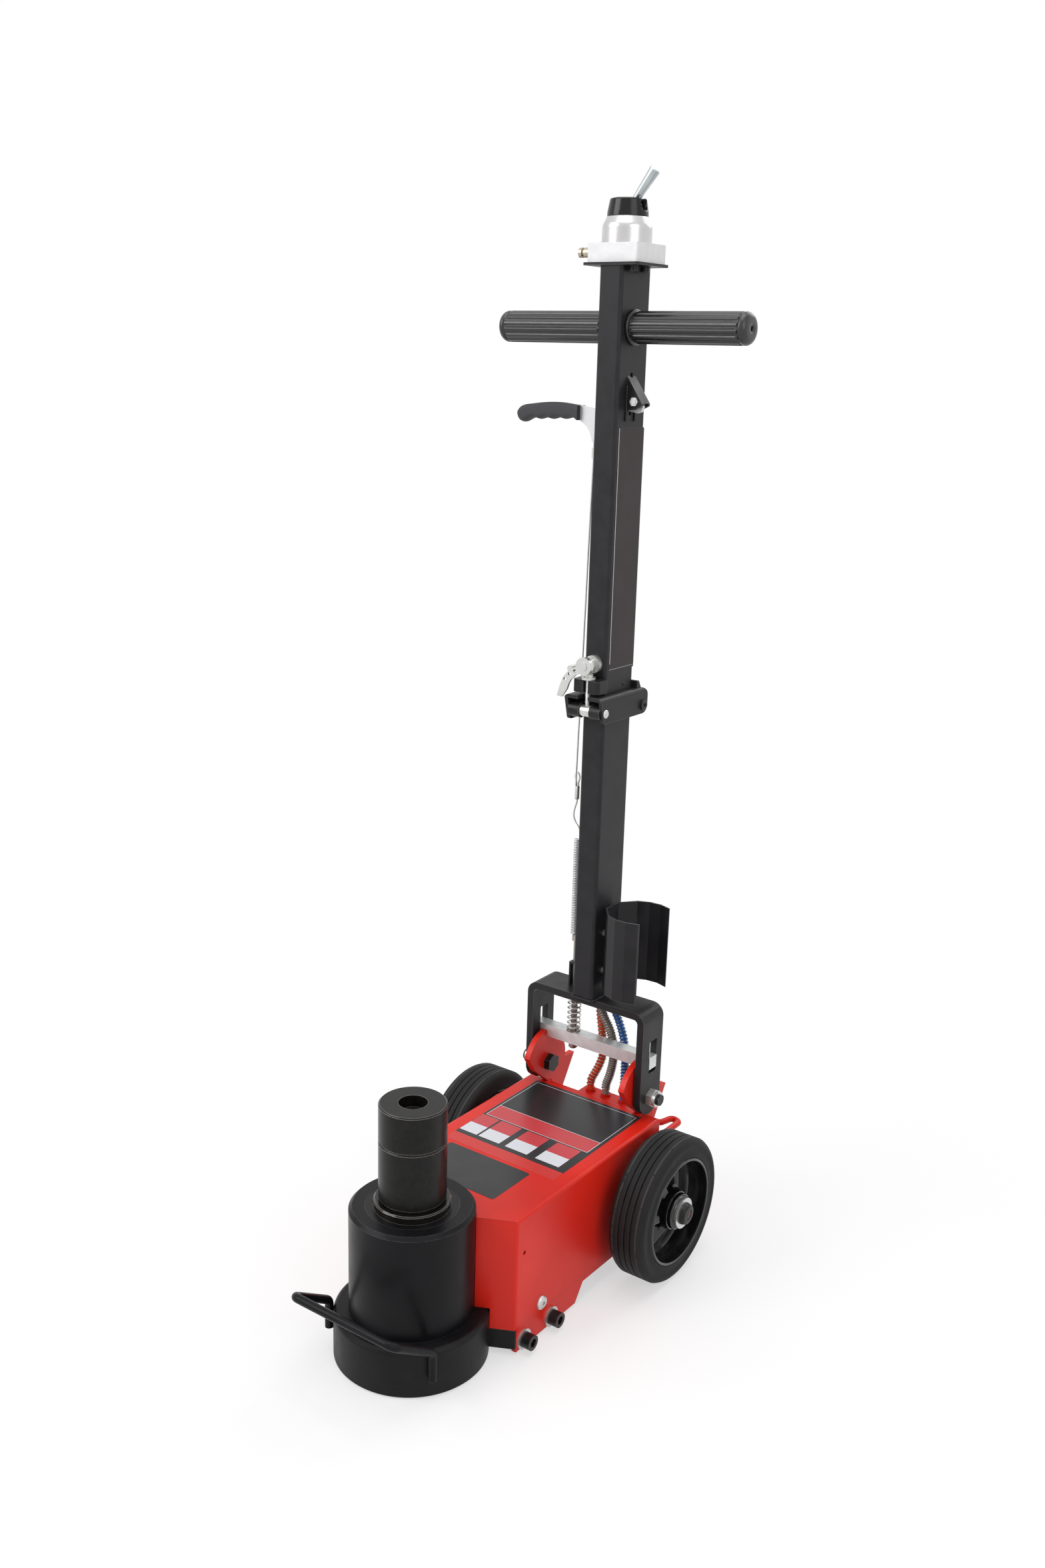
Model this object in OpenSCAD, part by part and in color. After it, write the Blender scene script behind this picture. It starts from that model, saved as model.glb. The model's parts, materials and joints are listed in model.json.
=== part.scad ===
// Air hydraulic jack: a two stage ram on a wheeled chassis with a folding tow handle.
// Millimetres. Origin at the centre of the foot's underside. +X is the right wheel's side,
// -Y the front (the ram), +Y the rear (the handle), +Z up.

/* [Foot and cylinder] */
// Diameter of the cast foot
foot_d = 174.6; // [160:0.5:190]
// Height of the cast foot
foot_h = 57; // [45:0.5:60]
// Radius of the rounded top rim of the foot
foot_rim_r = 6; // [3:0.5:9]
// Diameter of the lifting cylinder
barrel_d = 140; // [130:0.5:150]
// Height of the cylinder's top edge above the floor
barrel_top = 183.6; // [175:0.2:190]
// Bore of the cylinder
barrel_bore = 104; // [98:0.5:110]
// Height of the threaded gland in the cylinder's mouth
gland_h = 24; // [18:0.5:30]

/* [Ram and adapters] */
// Diameter of the first ram stage
ram1_d = 85.4; // [80:0.2:90]
// Height that the first stage stands above the cylinder when it is down
ram1_proud = 8.4; // [5:0.2:12]
// Bore of the first stage
ram1_bore = 74; // [71:0.5:78]
// Diameter of the second ram stage
ram2_d = 68; // [60:0.5:69]
// Height that the second stage stands above the first when it is down
ram2_proud = 2; // [1:0.2:4]
// Thickness of each ram's piston
piston_h = 18; // [14:0.5:22]
// Diameter of the screw on adapters
adapter_d = 75; // [72:0.5:80]
// Height of the tall adapter
tall_h = 68; // [60:0.5:76]
// Height of the short adapter
short_h = 44; // [38:0.5:50]
// Diameter of the socket in each saddle face
socket_d = 32; // [26:0.5:36]
// Depth of the socket in each saddle face
socket_depth = 14; // [12:0.5:20]
// Length of the spigot under each adapter
spigot_h = 11; // [8:0.5:11.5]

/* [Carry handle] */
// Diameter of the bent rod
carry_d = 10; // [8:0.5:12]
// Half the distance between the two legs
carry_half = 75; // [70:0.5:77]
// Reach of the straight bar in front of the foot
carry_proud = 26.7; // [20:0.1:36]
// Height of the straight bar
carry_z = 98; // [90:0.5:110]

/* [Chassis] */
// Width of the sheet cover
cover_w = 200; // [190:0.5:206]
// Height of the cover's top
cover_top = 170; // [160:0.5:174]
// Length of the cover from the foot's centre to its rear wall
cover_l = 360; // [355:0.5:362]
// Height of the cover's lower edge
cover_low = 32; // [28:0.5:36]
// Thickness of the cover's sheet
cover_t = 3; // [2:0.1:4]
// Where the slanted front plates meet the sides
cover_front = 60.5; // [57:0.5:64]
// Outer radius of the bends
cover_bend_r = 4.5; // [3.5:0.5:7]
// Thickness of the lower side plates
rail_t = 6; // [5:0.5:8]
// Height of the deep front part of the side plates
rail_h = 29; // [26:0.5:31]
// Length of the side plates' deep part, from the foot's centre
rail_deep_l = 180; // [170:0.5:190]

/* [Wheels] */
// Diameter of the wheels
wheel_d = 180; // [170:0.5:182]
// Width of the tyres
tyre_w = 48; // [40:0.5:50]
// Gap between the cover's side and each tyre
wheel_gap = 17; // [16:0.5:22]
// Distance from the foot's centre to the axle
axle_y = 305.3; // [295:0.5:310]
// Diameter of the rim's lip as a share of the wheel's
rim_share = 0.738; // [0.66:0.002:0.78]
// Diameter of the axle
axle_d = 20; // [16:0.5:24]

/* [Handle pivot and ears] */
// Distance from the foot's centre to the handle's pivot
pivot_y = 351.3; // [348:0.5:353]
// Height of the handle's pivot
pivot_z = 199.35; // [196:0.5:204]
// Distance of the ears' outer faces in from the cover's sides
ear_inset = 25; // [24:0.5:28]
// Thickness of each ear
ear_t = 8; // [6:0.5:9]
// Radius of the ears' front horn about the pivot
ear_r = 47; // [44:0.5:50]
// Diameter of the pivot bolts
pivot_d = 14; // [12:0.5:16]

/* [Fork and lock] */
// Thickness of the fork's flat bar
fork_t = 9.3; // [8:0.1:10]
// Width of the fork's flat bar
fork_w = 46; // [42:0.5:50]
// Height of the fork's top
fork_top = 316; // [306:0.5:326]
// Outer radius of the fork's bends
fork_bend_r = 15; // [12:0.5:18]
// Side of the square lock bar
bar_s = 16; // [14:0.5:17]
// Travel of the lock bar
bar_travel = 14; // [10:0.5:15]
// Diameter of the pull rod
pull_d = 8; // [6:0.5:9]
// Distance from the middle of the jack to the pull rod
pull_x = 31.5; // [29:0.5:34]

/* [Springs] */
// Outside diameter of the lock spring
lock_od = 18; // [16:0.5:20]
// Wire of the lock spring
lock_wire = 2; // [1.6:0.1:2.2]
// Curls of the lock spring
lock_curls = 7; // [5:1:9]
// Outside diameter of the return spring
return_od = 9; // [8:0.5:11]
// Wire of the return spring
return_wire = 1.5; // [1.2:0.1:1.6]
// Curls of the return spring
return_curls = 58; // [50:1:58]
// Height of the return spring's lower end
return_low = 384; // [380:1:390]
// Length of the return spring
return_h = 126; // [122:1:132]

/* [Handle tubes] */
// Width of the rectangular tubes
tube_w = 30; // [26:0.5:32]
// Depth of the rectangular tubes
tube_d = 60; // [56:0.5:62]
// Wall of the rectangular tubes
tube_t = 3; // [2:0.1:4]
// Corner radius of the rectangular tubes
tube_r = 4; // [3:0.5:6]
// Height of the lower tube's end
lower_top = 699; // [680:0.5:720]
// Height of the upper tube's end
upper_top = 1177; // [1150:0.5:1200]
// Distance of the tubes' middle behind the pivot
tube_back = 0.2; // [0:0.1:1]

/* [Tool tray] */
// Height of the tray
tray_h = 103; // [90:0.5:115]
// Height of the tray's lower edge
tray_low = 333; // [326:0.5:345]
// Half the width of the tray
tray_half = 41; // [36:0.5:44]
// Depth of the tray from its back to its free edges
tray_depth = 61; // [54:0.5:66]
// Thickness of the tray's sheet
tray_t = 2; // [1.5:0.1:3]
// Gap between the tube and the tray's back
tray_gap = 4; // [3:0.5:6]

/* [Fold hinge and clamp] */
// Half the width over the bracket's side plates
bracket_half = 26; // [24:0.5:28]
// Thickness of the bracket's sheet
bracket_t = 4; // [3:0.5:5]
// Height of the bracket's side plates
bracket_h = 31.5; // [28:0.5:36]
// Distance of the hinge pin behind the tubes' middle
hinge_back = 38; // [38:0.5:40]
// Depth of the hinge pin below the bracket's top
hinge_drop = 21; // [18:0.5:21.5]
// Diameter of the hinge pin and the cross pin
pin_d = 8; // [6:0.5:9]
// Distance of the cross pin in front of the tubes' middle
cross_fore = 42.5; // [41:0.5:44]
// Diameter of the barrels on the cross pin
barrels_d = 18; // [16:0.5:20]
// Diameter of the cam discs
cam_d = 21; // [19:0.5:22]
// Height of the cam's centre above the cross pin
cam_rise = 54; // [54:0.5:60]
// Height of the keeper lug
keeper_h = 15; // [12:0.5:16]

/* [Squeeze lever] */
// Height of the squeeze lever's pivot
squeeze_z = 1034; // [1010:0.5:1040]
// Distance of the squeeze lever's pivot from the tube's middle
squeeze_x = 26; // [24:0.5:28]
// Thickness of the squeeze lever's blade
blade_t = 4; // [3:0.5:4]
// Reach of the squeeze lever's grip from the tube's middle
grip_reach = 139.5; // [130:0.5:150]

/* [T bar] */
// Height of the T bar
tbar_z = 1113; // [1100:0.5:1130]
// Diameter of the T bar's tube
tbar_d = 25; // [20:0.5:27]
// Reach of each grip from the tube's middle
tbar_reach = 162; // [150:0.5:170]
// Diameter of the grips
grips_d = 35; // [32:0.5:38]

/* [Air valve] */
// Width of the top plate
plate_w = 72; // [70:0.5:76]
// Depth of the top plate
plate_d = 66; // [64:0.5:70]
// Thickness of the top plate
plate_t = 3; // [2.5:0.1:4]
// Width of the valve block
block_w = 65; // [60:0.5:66]
// Depth of the valve block
block_d = 59; // [56:0.5:62]
// Height of the valve block
block_h = 20.2; // [18:0.2:24]
// Widest diameter of the dome
dome_d = 55; // [52:0.5:58]
// Height of the dome
dome_h = 27.8; // [24:0.2:30]
// Height of the cap
cap_h = 19; // [16:0.5:22]
// Length of the toggle lever from its pivot
toggle_l = 47; // [40:0.5:52]
// Lean of the toggle lever from upright
toggle_lean = 38; // [30:1:42]
// Diameter of the air inlet's nipple
inlet_d = 11; // [9:0.5:13]

/* [Hoses] */
// Diameter of the air hoses
hose_d = 9; // [6:0.5:9]

/* [Hidden] */
$fn = 48;
// Clearances: a turning or sliding fit, a gap between moving faces, a seated face, and a cut's overrun
fit = 0.05;
side_gap = 0.2;
face_gap = 0.3;
over = 1;
arc_steps = 6;
// Small radius that several pieces share
edge_r = 2;

foot_r = foot_d / 2;
barrel_r = barrel_d / 2;
bore_r = barrel_bore / 2;
ram1_top = barrel_top + ram1_proud;
ram2_top = ram1_top + ram2_proud;
seat_h = 8;
port_r = 4;
ram_land = 2;
ram1_floor = 10;
ram1_low = foot_h + seat_h + ram_land;
ram2_low = ram1_low + ram1_floor + ram_land;
lip_h = 20;
rear_face = cover_l;
half_w = cover_w / 2;
carry_reach = foot_r + carry_proud;
wheel_in = half_w + wheel_gap;
ear_in = half_w - ear_inset - ear_t;
rail_low = cover_low - rail_h;
neck_rear = 150;
neck_low = 8;
neck_top = 54;
pump_w = 80;
pump_front = 76;
pump_top = 140;
slant = 27.4;
nose_y = cover_front - half_w * tan(slant);
screw_y = [76, 129];
screw_z = 14;
screw_r = 6;
screw_head_r = 9;
screw_head_h = 12;
screw_washer_r = 12;
screw_washer_t = 2.5;
button_y = 109;
button_z = 43;
button_r = 8.5;
button_h = 4.2;
button_dome_r = 3.4;
peep_y = 74;
peep_z = 125;
peep_r = 2.5;

wheel_r = wheel_d / 2;
axle_r = axle_d / 2;
wheel_out = wheel_in + tyre_w;
hub_r = 24;
hub_proud = 2;
hub_washer_r = 19;
hub_washer_t = 3;
axle_nut_r = 12;
axle_nut_h = 4;
groove_count = 5;
groove_w = 3;
groove_depth = 4;
rim_t = 4;

pivot_gap = 2.7;
leg_in = ear_in + ear_t + pivot_gap;
leg_out = leg_in + fork_t;
pivot_r = pivot_d / 2;
pivot_head_r = 12;
pivot_head_h = 8.5;
pivot_nut_h = 12;
pivot_washer_r = 15;
bar_rise = 38.15;
bar_back = 2.2;
bar_low = pivot_z + bar_rise;
bar_y = pivot_y + bar_back;
bar_half = leg_out + over / 2;
arc_r = 37.8;
ear_low = 90;
tube_y = pivot_y + tube_back;
tube_front = tube_y - tube_d / 2;
tube_rear = tube_y + tube_d / 2;
half_t = tube_w / 2;
slot_clear = 0.4;
rod_gap = 0.6;
rod_hole_r = pull_d / 2 + rod_gap;

web_top = lower_top + bracket_t;
hinge_y = tube_y + hinge_back;
hinge_z = web_top - hinge_drop;
cross_y = tube_y - cross_fore;
cross_z = hinge_z + edge_r;
pin_r = pin_d / 2;
upper_low = web_top + over / 2;
keeper_rise = 2.5;
keeper_low = upper_low + keeper_rise;
keeper_top = keeper_low + keeper_h;
cam_z = cross_z + cam_rise;
bolt_r = 3;
swing_washer_r = 8.5;
cam_pin_r = 2.5;
block_half = 6;
knuckle_r = 7.5;

plate_top = upper_top + plate_t;
block_top = plate_top + block_h;
dome_top = block_top + dome_h;
cap_top = dome_top + cap_h;
toggle_x = 4;
toggle_sunk = 8;
toggle_z = cap_top - toggle_sunk;
toggle_r = 3.8;
rim_r = wheel_r * rim_share;
slot_y = tube_y - edge_r;

// Hose routes, in real sizes, from the manifold up into the handle's tube
red_route = [[-16, 376, 168], [-16, 376, 180], [-8, 375, 195], [1, 373, 212], [4, 371, 230],
    [2, 367.5, 250], [1, 366, 275], [1, 364, 295], [0, 363, 312], [0, 363, 330]];
grey_route = [[7, 376, 168], [7, 376, 180], [14, 376, 198], [19, 376, 220], [21, 376, 240],
    [17, 376, 262], [8, 375, 280], [-3, 373.5, 296], [-7.5, 372.5, 312], [-7.5, 372.5, 330]];
blue_route = [[34, 376, 168], [34, 376, 182], [34, 375, 205], [33, 373, 228], [29, 371.5, 250],
    [21, 371, 270], [13, 370.5, 286], [8, 370.5, 300], [7.5, 370.5, 314], [7.5, 370.5, 330]];
// Wire above the return spring and the cable that goes on to the squeeze lever
hook_route = [[-31.75, 352, 510.3], [-31.9, 352, 514], [-33.8, 352, 524], [-40, 352, 532], [-42.5, 352, 540],
    [-40.5, 352, 550], [-38.5, 352, 556], [-38.5, 352, 560]];
loop_route = [[-40, 352, 577], [-40, 352, 581], [-42, 352, 588], [-40.5, 352, 593.5], [-37.5, 352, 593.5],
    [-35.5, 352, 588], [-37, 352, 581], [-37, 352, 577]];
cable_route = [[-38.5, 348.5, 577.3], [-38.3, 348.5, 600], [-37.6, 348.5, 640], [-36.5, 349, 700],
    [-35.4, 349, 760], [-34.3, 349, 820], [-33.2, 349, 880], [-32, 349.3, 940], [-31.3, 349.5, 980]];

function unit(v) = v / norm(v);

// Points of the arc that rounds the corner b of the outline a, b, c
function corner(a, b, c, r) = r == 0 ? [b] :
    let (u = unit(a - b), w = unit(c - b), half = acos(u * w) / 2, run = r / tan(half),
        centre = b + unit(u + w) * r / sin(half), from = b + u * run - centre, to = b + w * run - centre)
    [for (i = [0:arc_steps]) centre + r * unit(from * (arc_steps - i) + to * i)];

// Outline p with every corner rounded, by one radius or by a list of them
function rounded(p, r) = [for (i = [0:len(p) - 1])
    each corner(p[(i + len(p) - 1) % len(p)], p[i], p[(i + 1) % len(p)], is_list(r) ? r[i] : r)];

function arc(cy, cz, r, a0, a1) = [for (i = [0:2 * arc_steps]) let (a = a0 + (a1 - a0) * i / (2 * arc_steps))
    [cy + r * cos(a), cz + r * sin(a)]];

// Outline in Y and Z, carried along X
module plate_x(outline, x0, t) {
    translate([x0, 0, 0]) rotate([90, 0, 90]) linear_extrude(t) polygon(outline);
}
// Outline in X and Z, carried along Y
module plate_y(outline, y0, t) {
    translate([0, y0 + t, 0]) rotate([90, 0, 0]) linear_extrude(t) polygon(outline);
}
// Round bars along X and Y, from a place and over a length
module bar_x(x0, l, r, y, z) { translate([x0, y, z]) rotate([0, 90, 0]) cylinder(r = r, h = l); }
module bar_y(x, y0, l, r, z) { translate([x, y0, z]) rotate([-90, 0, 0]) cylinder(r = r, h = l); }
module ring_x(x0, l, r, hole_r, y, z) {
    difference() { bar_x(x0, l, r, y, z); bar_x(x0 - over, l + 2 * over, hole_r, y, z); }
}
module box(x0, x1, y0, y1, z0, z1) { translate([x0, y0, z0]) cube([x1 - x0, y1 - y0, z1 - z0]); }
module hex_x(x0, l, flats, y, z) {
    translate([x0, y, z]) rotate([0, 90, 0]) cylinder(d = flats / cos(180 / 6), h = l, $fn = 6);
}
module both_sides() { children(); mirror([1, 0, 0]) children(); }

// Path through p with its inner corners rounded
function bent_path(p, bend_r) = concat([p[0]],
    [for (i = [1:len(p) - 2]) each corner(p[i - 1], p[i], p[i + 1], bend_r)], [p[len(p) - 1]]);

// Tube swept along path, with sides faces, rings square to the path and turned by the list side
module swept(path, side, r, sides) {
    last = len(path) - 1;
    rings = [for (i = [0:last])
        let (t = unit(path[min(i + 1, last)] - path[max(i - 1, 0)]),
            u = unit(side[i] - t * (side[i] * t)), v = cross(t, u))
        for (k = [0:sides - 1]) path[i] + r * (u * cos(360 * k / sides) + v * sin(360 * k / sides))];
    faces = concat([[for (k = [0:sides - 1]) k]],
        [for (i = [0:last - 1], k = [0:sides - 1]) let (n = (k + 1) % sides, a = i * sides)
            each [[a + k, a + sides + k, a + sides + n], [a + k, a + sides + n, a + n]]],
        [[for (k = [sides - 1:-1:0]) last * sides + k]]);
    polyhedron(points = rings, faces = faces);
}
// Points eased between the hand chosen points of a route
function smooth(p, n) = [for (i = [0:len(p) - 2], k = [0:n - 1])
    let (s = k / n, a = p[max(i - 1, 0)], b = p[i], c = p[i + 1], d = p[min(i + 2, len(p) - 1)])
    0.5 * (2 * b + (c - a) * s + (2 * a - 5 * b + 4 * c - d) * s * s + (3 * b - a - 3 * c + d) * s * s * s),
    p[len(p) - 1]];
module wire(path, r, sides) { swept(path, [for (q = path) [0, 1, 0]], r, sides); }

// Points of a coil in each of its turns
coil_rings = 8;
// Centre line of a compression coil: straight ends one wire long, and curls between them
function coil_path(r, z0, z1, curls, wire_d) =
    let (rise = z1 - z0 - 2 * wire_d, count = curls * coil_rings)
    concat([[r, 0, z0]], [for (i = [0:count]) [r * cos(360 * i / coil_rings), r * sin(360 * i / coil_rings),
        z0 + wire_d + rise * i / count]], [[r, 0, z1]]);
function coil_side(curls) = concat([[1, 0, 0]], [for (i = [0:curls * coil_rings])
    [cos(360 * i / coil_rings), sin(360 * i / coil_rings), 0]], [[1, 0, 0]]);
// Least gap between two curls that lie over each other
function coil_gap(z0, z1, curls, wire_d) = (z1 - z0 - 2 * wire_d) / curls - wire_d;

module foot_casting() {
    color([0.13, 0.13, 0.14]) union() {
        rotate_extrude() polygon(concat([[0, 0], [foot_r - edge_r, 0], [foot_r, edge_r]],
            corner([foot_r, 0], [foot_r, foot_h], [0, foot_h], foot_rim_r),
            [[bore_r - fit, foot_h], [bore_r - fit, foot_h + seat_h], [0, foot_h + seat_h]]));
        // Neck that carries the pump behind the cylinder
        intersection() {
            translate([0, 0, neck_low]) linear_extrude(neck_top - neck_low) polygon(cover_plan(rail_t));
            box(-half_w, half_w, 0, neck_rear, 0, foot_h);
        }
        // Its full width in front of the side plates
        intersection() {
            translate([0, 0,
                neck_low]) linear_extrude(cover_low - face_gap - neck_low) polygon(cover_plan(0));
            box(-half_w, half_w, 0, cover_front + edge_r - face_gap, 0, foot_h);
        }
        box(-pump_w / 2, pump_w / 2, pump_front, neck_rear, neck_top - over, pump_top);
    }
}

module cylinder_barrel() {
    chamfer = 4;
    color([0.12, 0.13, 0.14]) rotate_extrude() polygon([[bore_r, foot_h], [barrel_r, foot_h],
        [barrel_r, barrel_top - chamfer], [barrel_r - chamfer, barrel_top], [bore_r, barrel_top]]);
}

module gland_nut() {
    color([0.16, 0.16, 0.17]) difference() {
        translate([0, 0, barrel_top - gland_h]) cylinder(r = bore_r - fit, h = gland_h - over / 2);
        translate([0, 0, barrel_top - gland_h - over]) cylinder(r = ram1_d / 2 + fit,
            h = gland_h + 2 * over);
    }
}

module ram_stage_1() {
    lip = 1.5;
    color([0.3, 0.3, 0.32]) rotate_extrude() polygon([[port_r, ram1_low], [bore_r - fit, ram1_low],
        [bore_r - fit, ram1_low + piston_h], [ram1_d / 2, ram1_low + piston_h], [ram1_d / 2, ram1_top - lip],
        [ram1_d / 2 - lip, ram1_top], [ram2_d / 2 + fit, ram1_top], [ram2_d / 2 + fit, ram1_top - lip_h],
        [ram1_bore / 2, ram1_top - lip_h], [ram1_bore / 2, ram1_low + ram1_floor], [port_r,
            ram1_low + ram1_floor]]);
}

module ram_stage_2() {
    color([0.55, 0.56, 0.58]) rotate_extrude() polygon([[0, ram2_low], [ram1_bore / 2 - fit, ram2_low],
        [ram1_bore / 2 - fit, ram2_low + piston_h], [ram2_d / 2, ram2_low + piston_h], [ram2_d / 2,
            ram2_top],
        [socket_d / 2, ram2_top], [socket_d / 2, ram2_top - socket_depth], [0, ram2_top - socket_depth]]);
}

// Saddle adapter from height low: a spigot below and a socket in its top
module adapter(low, h) {
    chamfer = 1.5;
    spigot_r = socket_d / 2 - 2 * fit;
    rotate_extrude() polygon([[0, low - spigot_h], [spigot_r, low - spigot_h], [spigot_r, low],
        [adapter_d / 2 - chamfer, low], [adapter_d / 2, low + chamfer], [adapter_d / 2, low + h - chamfer],
        [adapter_d / 2 - chamfer, low + h], [socket_d / 2, low + h], [socket_d / 2, low + h - socket_depth],
        [0, low + h - socket_depth]]);
}
module adapter_tall() { color([0.33, 0.31, 0.3]) adapter(ram2_top, tall_h); }
module adapter_short() { color([0.33, 0.31, 0.3]) adapter(ram2_top + tall_h, short_h); }

module carry_handle() {
    leg_y = -sqrt(pow(foot_r + carry_d / 2 + fit, 2) - pow(carry_half, 2));
    leg_low = foot_h * 0.44;
    elbow = [carry_half, leg_y, foot_h + edge_r];
    grip_end = [carry_half - 4, -carry_reach, carry_z];
    mirror_end = [-grip_end[0], grip_end[1], grip_end[2]];
    // Side of the rings: square to both the arms and the bar
    ring_side = [0, carry_z - elbow[2], carry_reach + leg_y];
    path = bent_path([[carry_half, leg_y, leg_low], elbow, grip_end, mirror_end,
        [-elbow[0], elbow[1], elbow[2]], [-carry_half, leg_y, leg_low]], carry_d);
    color([0.12, 0.12, 0.13]) swept(path, [for (q = path) ring_side], carry_d / 2, 12);
}

// Plan of the cover, drawn in by inset: slanted front plates, sides and rear wall
function cover_plan(inset) = let (x = half_w - inset, front = nose_y + inset / cos(slant),
    side = front + x * tan(slant), rear = rear_face - inset)
    [[0, front], [x, side], [x, rear], [-x, rear], [-x, side]];
module cover_body(inset, low) {
    r = cover_bend_r - inset;
    intersection() {
        translate([0, 0, low]) linear_extrude(cover_top - inset - low)
            polygon(rounded(cover_plan(inset), [0, r, r, r, r]));
        plate_y(rounded([[-half_w + inset, low - over], [half_w - inset, low - over],
            [half_w - inset, cover_top - inset], [-half_w + inset, cover_top - inset]], [0, 0, r, r]),
            -over, rear_face + 2 * over);
        plate_x(rounded([[-over, low - over], [rear_face - inset, low - over], [rear_face - inset,
            cover_top - inset],
            [-over, cover_top - inset]], [0, 0, r, 0]), -half_w, cover_w);
    }
}
module chassis_cover() {
    color([0.83, 0.16, 0.12]) difference() {
        cover_body(0, cover_low);
        cover_body(cover_t, cover_low - over);
        translate([0, 0, cover_low - over]) cylinder(r = foot_r + face_gap,
            h = foot_h + face_gap - cover_low + over);
        cylinder(r = barrel_r + face_gap, h = cover_top + over);
        bar_x(-half_w - over, cover_w + 2 * over, axle_r + fit, axle_y, wheel_r);
        bar_x(-half_w - over, cover_w + 2 * over, peep_r, peep_y, peep_z);
        bar_x(-half_w - over, cover_w + 2 * over, button_r / 2, button_y, button_z);
    }
}

module side_plates() {
    rear_low = cover_low - rail_h / 4;
    rear_end = axle_y + wheel_r / 2;
    step_share = 2.6;
    color([0.8, 0.15, 0.12]) both_sides() difference() {
        plate_x([[cover_front + edge_r, rail_low], [rail_deep_l, rail_low],
            [rail_deep_l + rail_t * step_share, rear_low],
            [rear_end, rear_low], [rear_end, cover_low], [cover_front + edge_r, cover_low]],
                half_w - rail_t, rail_t);
        for (y = screw_y) bar_x(half_w - rail_t - over, rail_t + 2 * over, screw_r + fit, y, screw_z);
    }
}

// Ear: a front horn that stops the lock bar, an arc under the bar, and a rear jaw for the towing position
module side_ears() {
    // Shares of the horn's radius, from the front of the foot up to the horn's tip
    front_shares = [[0.043, -0.624], [-0.149, -0.462], [-0.645, -0.043], [-0.915, 0.372]];
    // Shares of the horn's radius, from the jaw's tip down to the rear wall
    rear_shares = [[1.255, -0.17], [0.83, -0.872]];
    notch_y = bar_s * 0.4;
    horn_a0 = 157.5;
    horn_a1 = acos(-notch_y / ear_r);
    notch_a = acos(-notch_y / arc_r);
    jaw_a = -11.6;
    foot_z = cover_top - pivot_z;
    wall_y = rear_face - pivot_y;
    outline = concat([[wall_y, foot_z]],
        [for (s = front_shares) s * ear_r], arc(0, 0, ear_r, horn_a0, horn_a1), arc(0, 0, arc_r, notch_a,
            jaw_a),
        [for (s = rear_shares) s * ear_r], [[wall_y, -ear_low]]);
    color([0.83, 0.16, 0.12]) both_sides() difference() {
        translate([0, pivot_y, pivot_z]) plate_x(outline, ear_in, ear_t);
        bar_x(ear_in - over, ear_t + 2 * over, pivot_r + fit, pivot_y, pivot_z);
    }
}

module rear_loop() {
    loop_r = 4;
    drop = 20;
    reach = 43;
    start = 22;
    out = 11;
    loop_z = cover_top - drop;
    rear = rear_face + reach;
    side_x = half_w + loop_r + fit;
    path = bent_path([[ear_in + ear_t + fit, rear_face + start, loop_z], [ear_in + ear_t + out,
        rear_face + start, loop_z],
        [half_w - 2 * loop_r, rear, loop_z], [side_x - over, rear - loop_r, loop_z],
        [side_x, rear_face + out, loop_z], [side_x, rear_face - start, loop_z]], loop_r * 1.5);
    color([0.8, 0.15, 0.12]) swept(path, [for (q = path) [0, 0, 1]], loop_r, 12);
}

manifold_z = [110, 165];
port_tops = [red_route[0], grey_route[0], blue_route[0]];
module hose_manifold() {
    collar_r = 6.5;
    edge = 12;
    depth = 26;
    color([0.2, 0.2, 0.21]) union() {
        box(port_tops[0][0] - edge, port_tops[2][0] + edge, rear_face, rear_face + depth, manifold_z[0],
            manifold_z[1]);
        for (p = port_tops) translate([p[0], p[1], manifold_z[1] - over]) cylinder(r = collar_r,
            h = p[2] - manifold_z[1] + over);
    }
}

module air_motor() {
    motor_r = 44;
    flange_t = 10;
    motor_z = 92;
    fin = 8;
    fin_depth = 4;
    fin_first = 40;
    fin_pitch = 22;
    motor_end = axle_y - axle_r - fin - fin_depth;
    color([0.6, 0.61, 0.63]) difference() {
        union() {
            box(-pump_w / 2, pump_w / 2, neck_rear, neck_rear + flange_t, neck_top, pump_top);
            bar_y(0, neck_rear + flange_t / 2, motor_end - neck_rear - flange_t / 2, motor_r, motor_z);
        }
        for (i = [0:3]) translate([0, neck_rear + fin_first + i * fin_pitch, motor_z]) rotate([-90, 0,
            0]) difference() {
            cylinder(r = motor_r + over, h = fin);
            translate([0, 0, -over]) cylinder(r = motor_r - fin_depth, h = fin + 2 * over);
        }
    }
}

module cap_screws() {
    socket_flats = 10;
    socket_h = 6;
    head = half_w + screw_washer_t;
    color([0.1, 0.1, 0.11]) both_sides() for (y = screw_y) difference() {
        union() {
            bar_x(head, screw_head_h, screw_head_r, y, screw_z);
            bar_x(half_w - rail_t, rail_t + screw_washer_t + over, screw_r, y, screw_z);
        }
        hex_x(head + screw_head_h - socket_h, socket_h + over, socket_flats, y, screw_z);
    }
}
module screw_washers() {
    color([0.75, 0.76, 0.78]) both_sides() for (y = screw_y)
        ring_x(half_w, screw_washer_t, screw_washer_r, screw_r + fit, y, screw_z);
}
module button_screws() {
    color([0.78, 0.79, 0.8]) both_sides() difference() {
        union() {
            translate([half_w, button_y, button_z]) rotate([0, 90,
                0]) rotate_extrude() polygon(concat([[0, 0],
                [button_r, 0]], corner([button_r, 0], [button_r, button_h], [0, button_h], button_dome_r),
                    [[0, button_h]]));
            bar_x(half_w - cover_t, cover_t + over, button_r / 2 - fit, button_y, button_z);
        }
        hex_x(half_w + button_h / 2, button_h, button_r / 2, button_y, button_z);
    }
}

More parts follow.
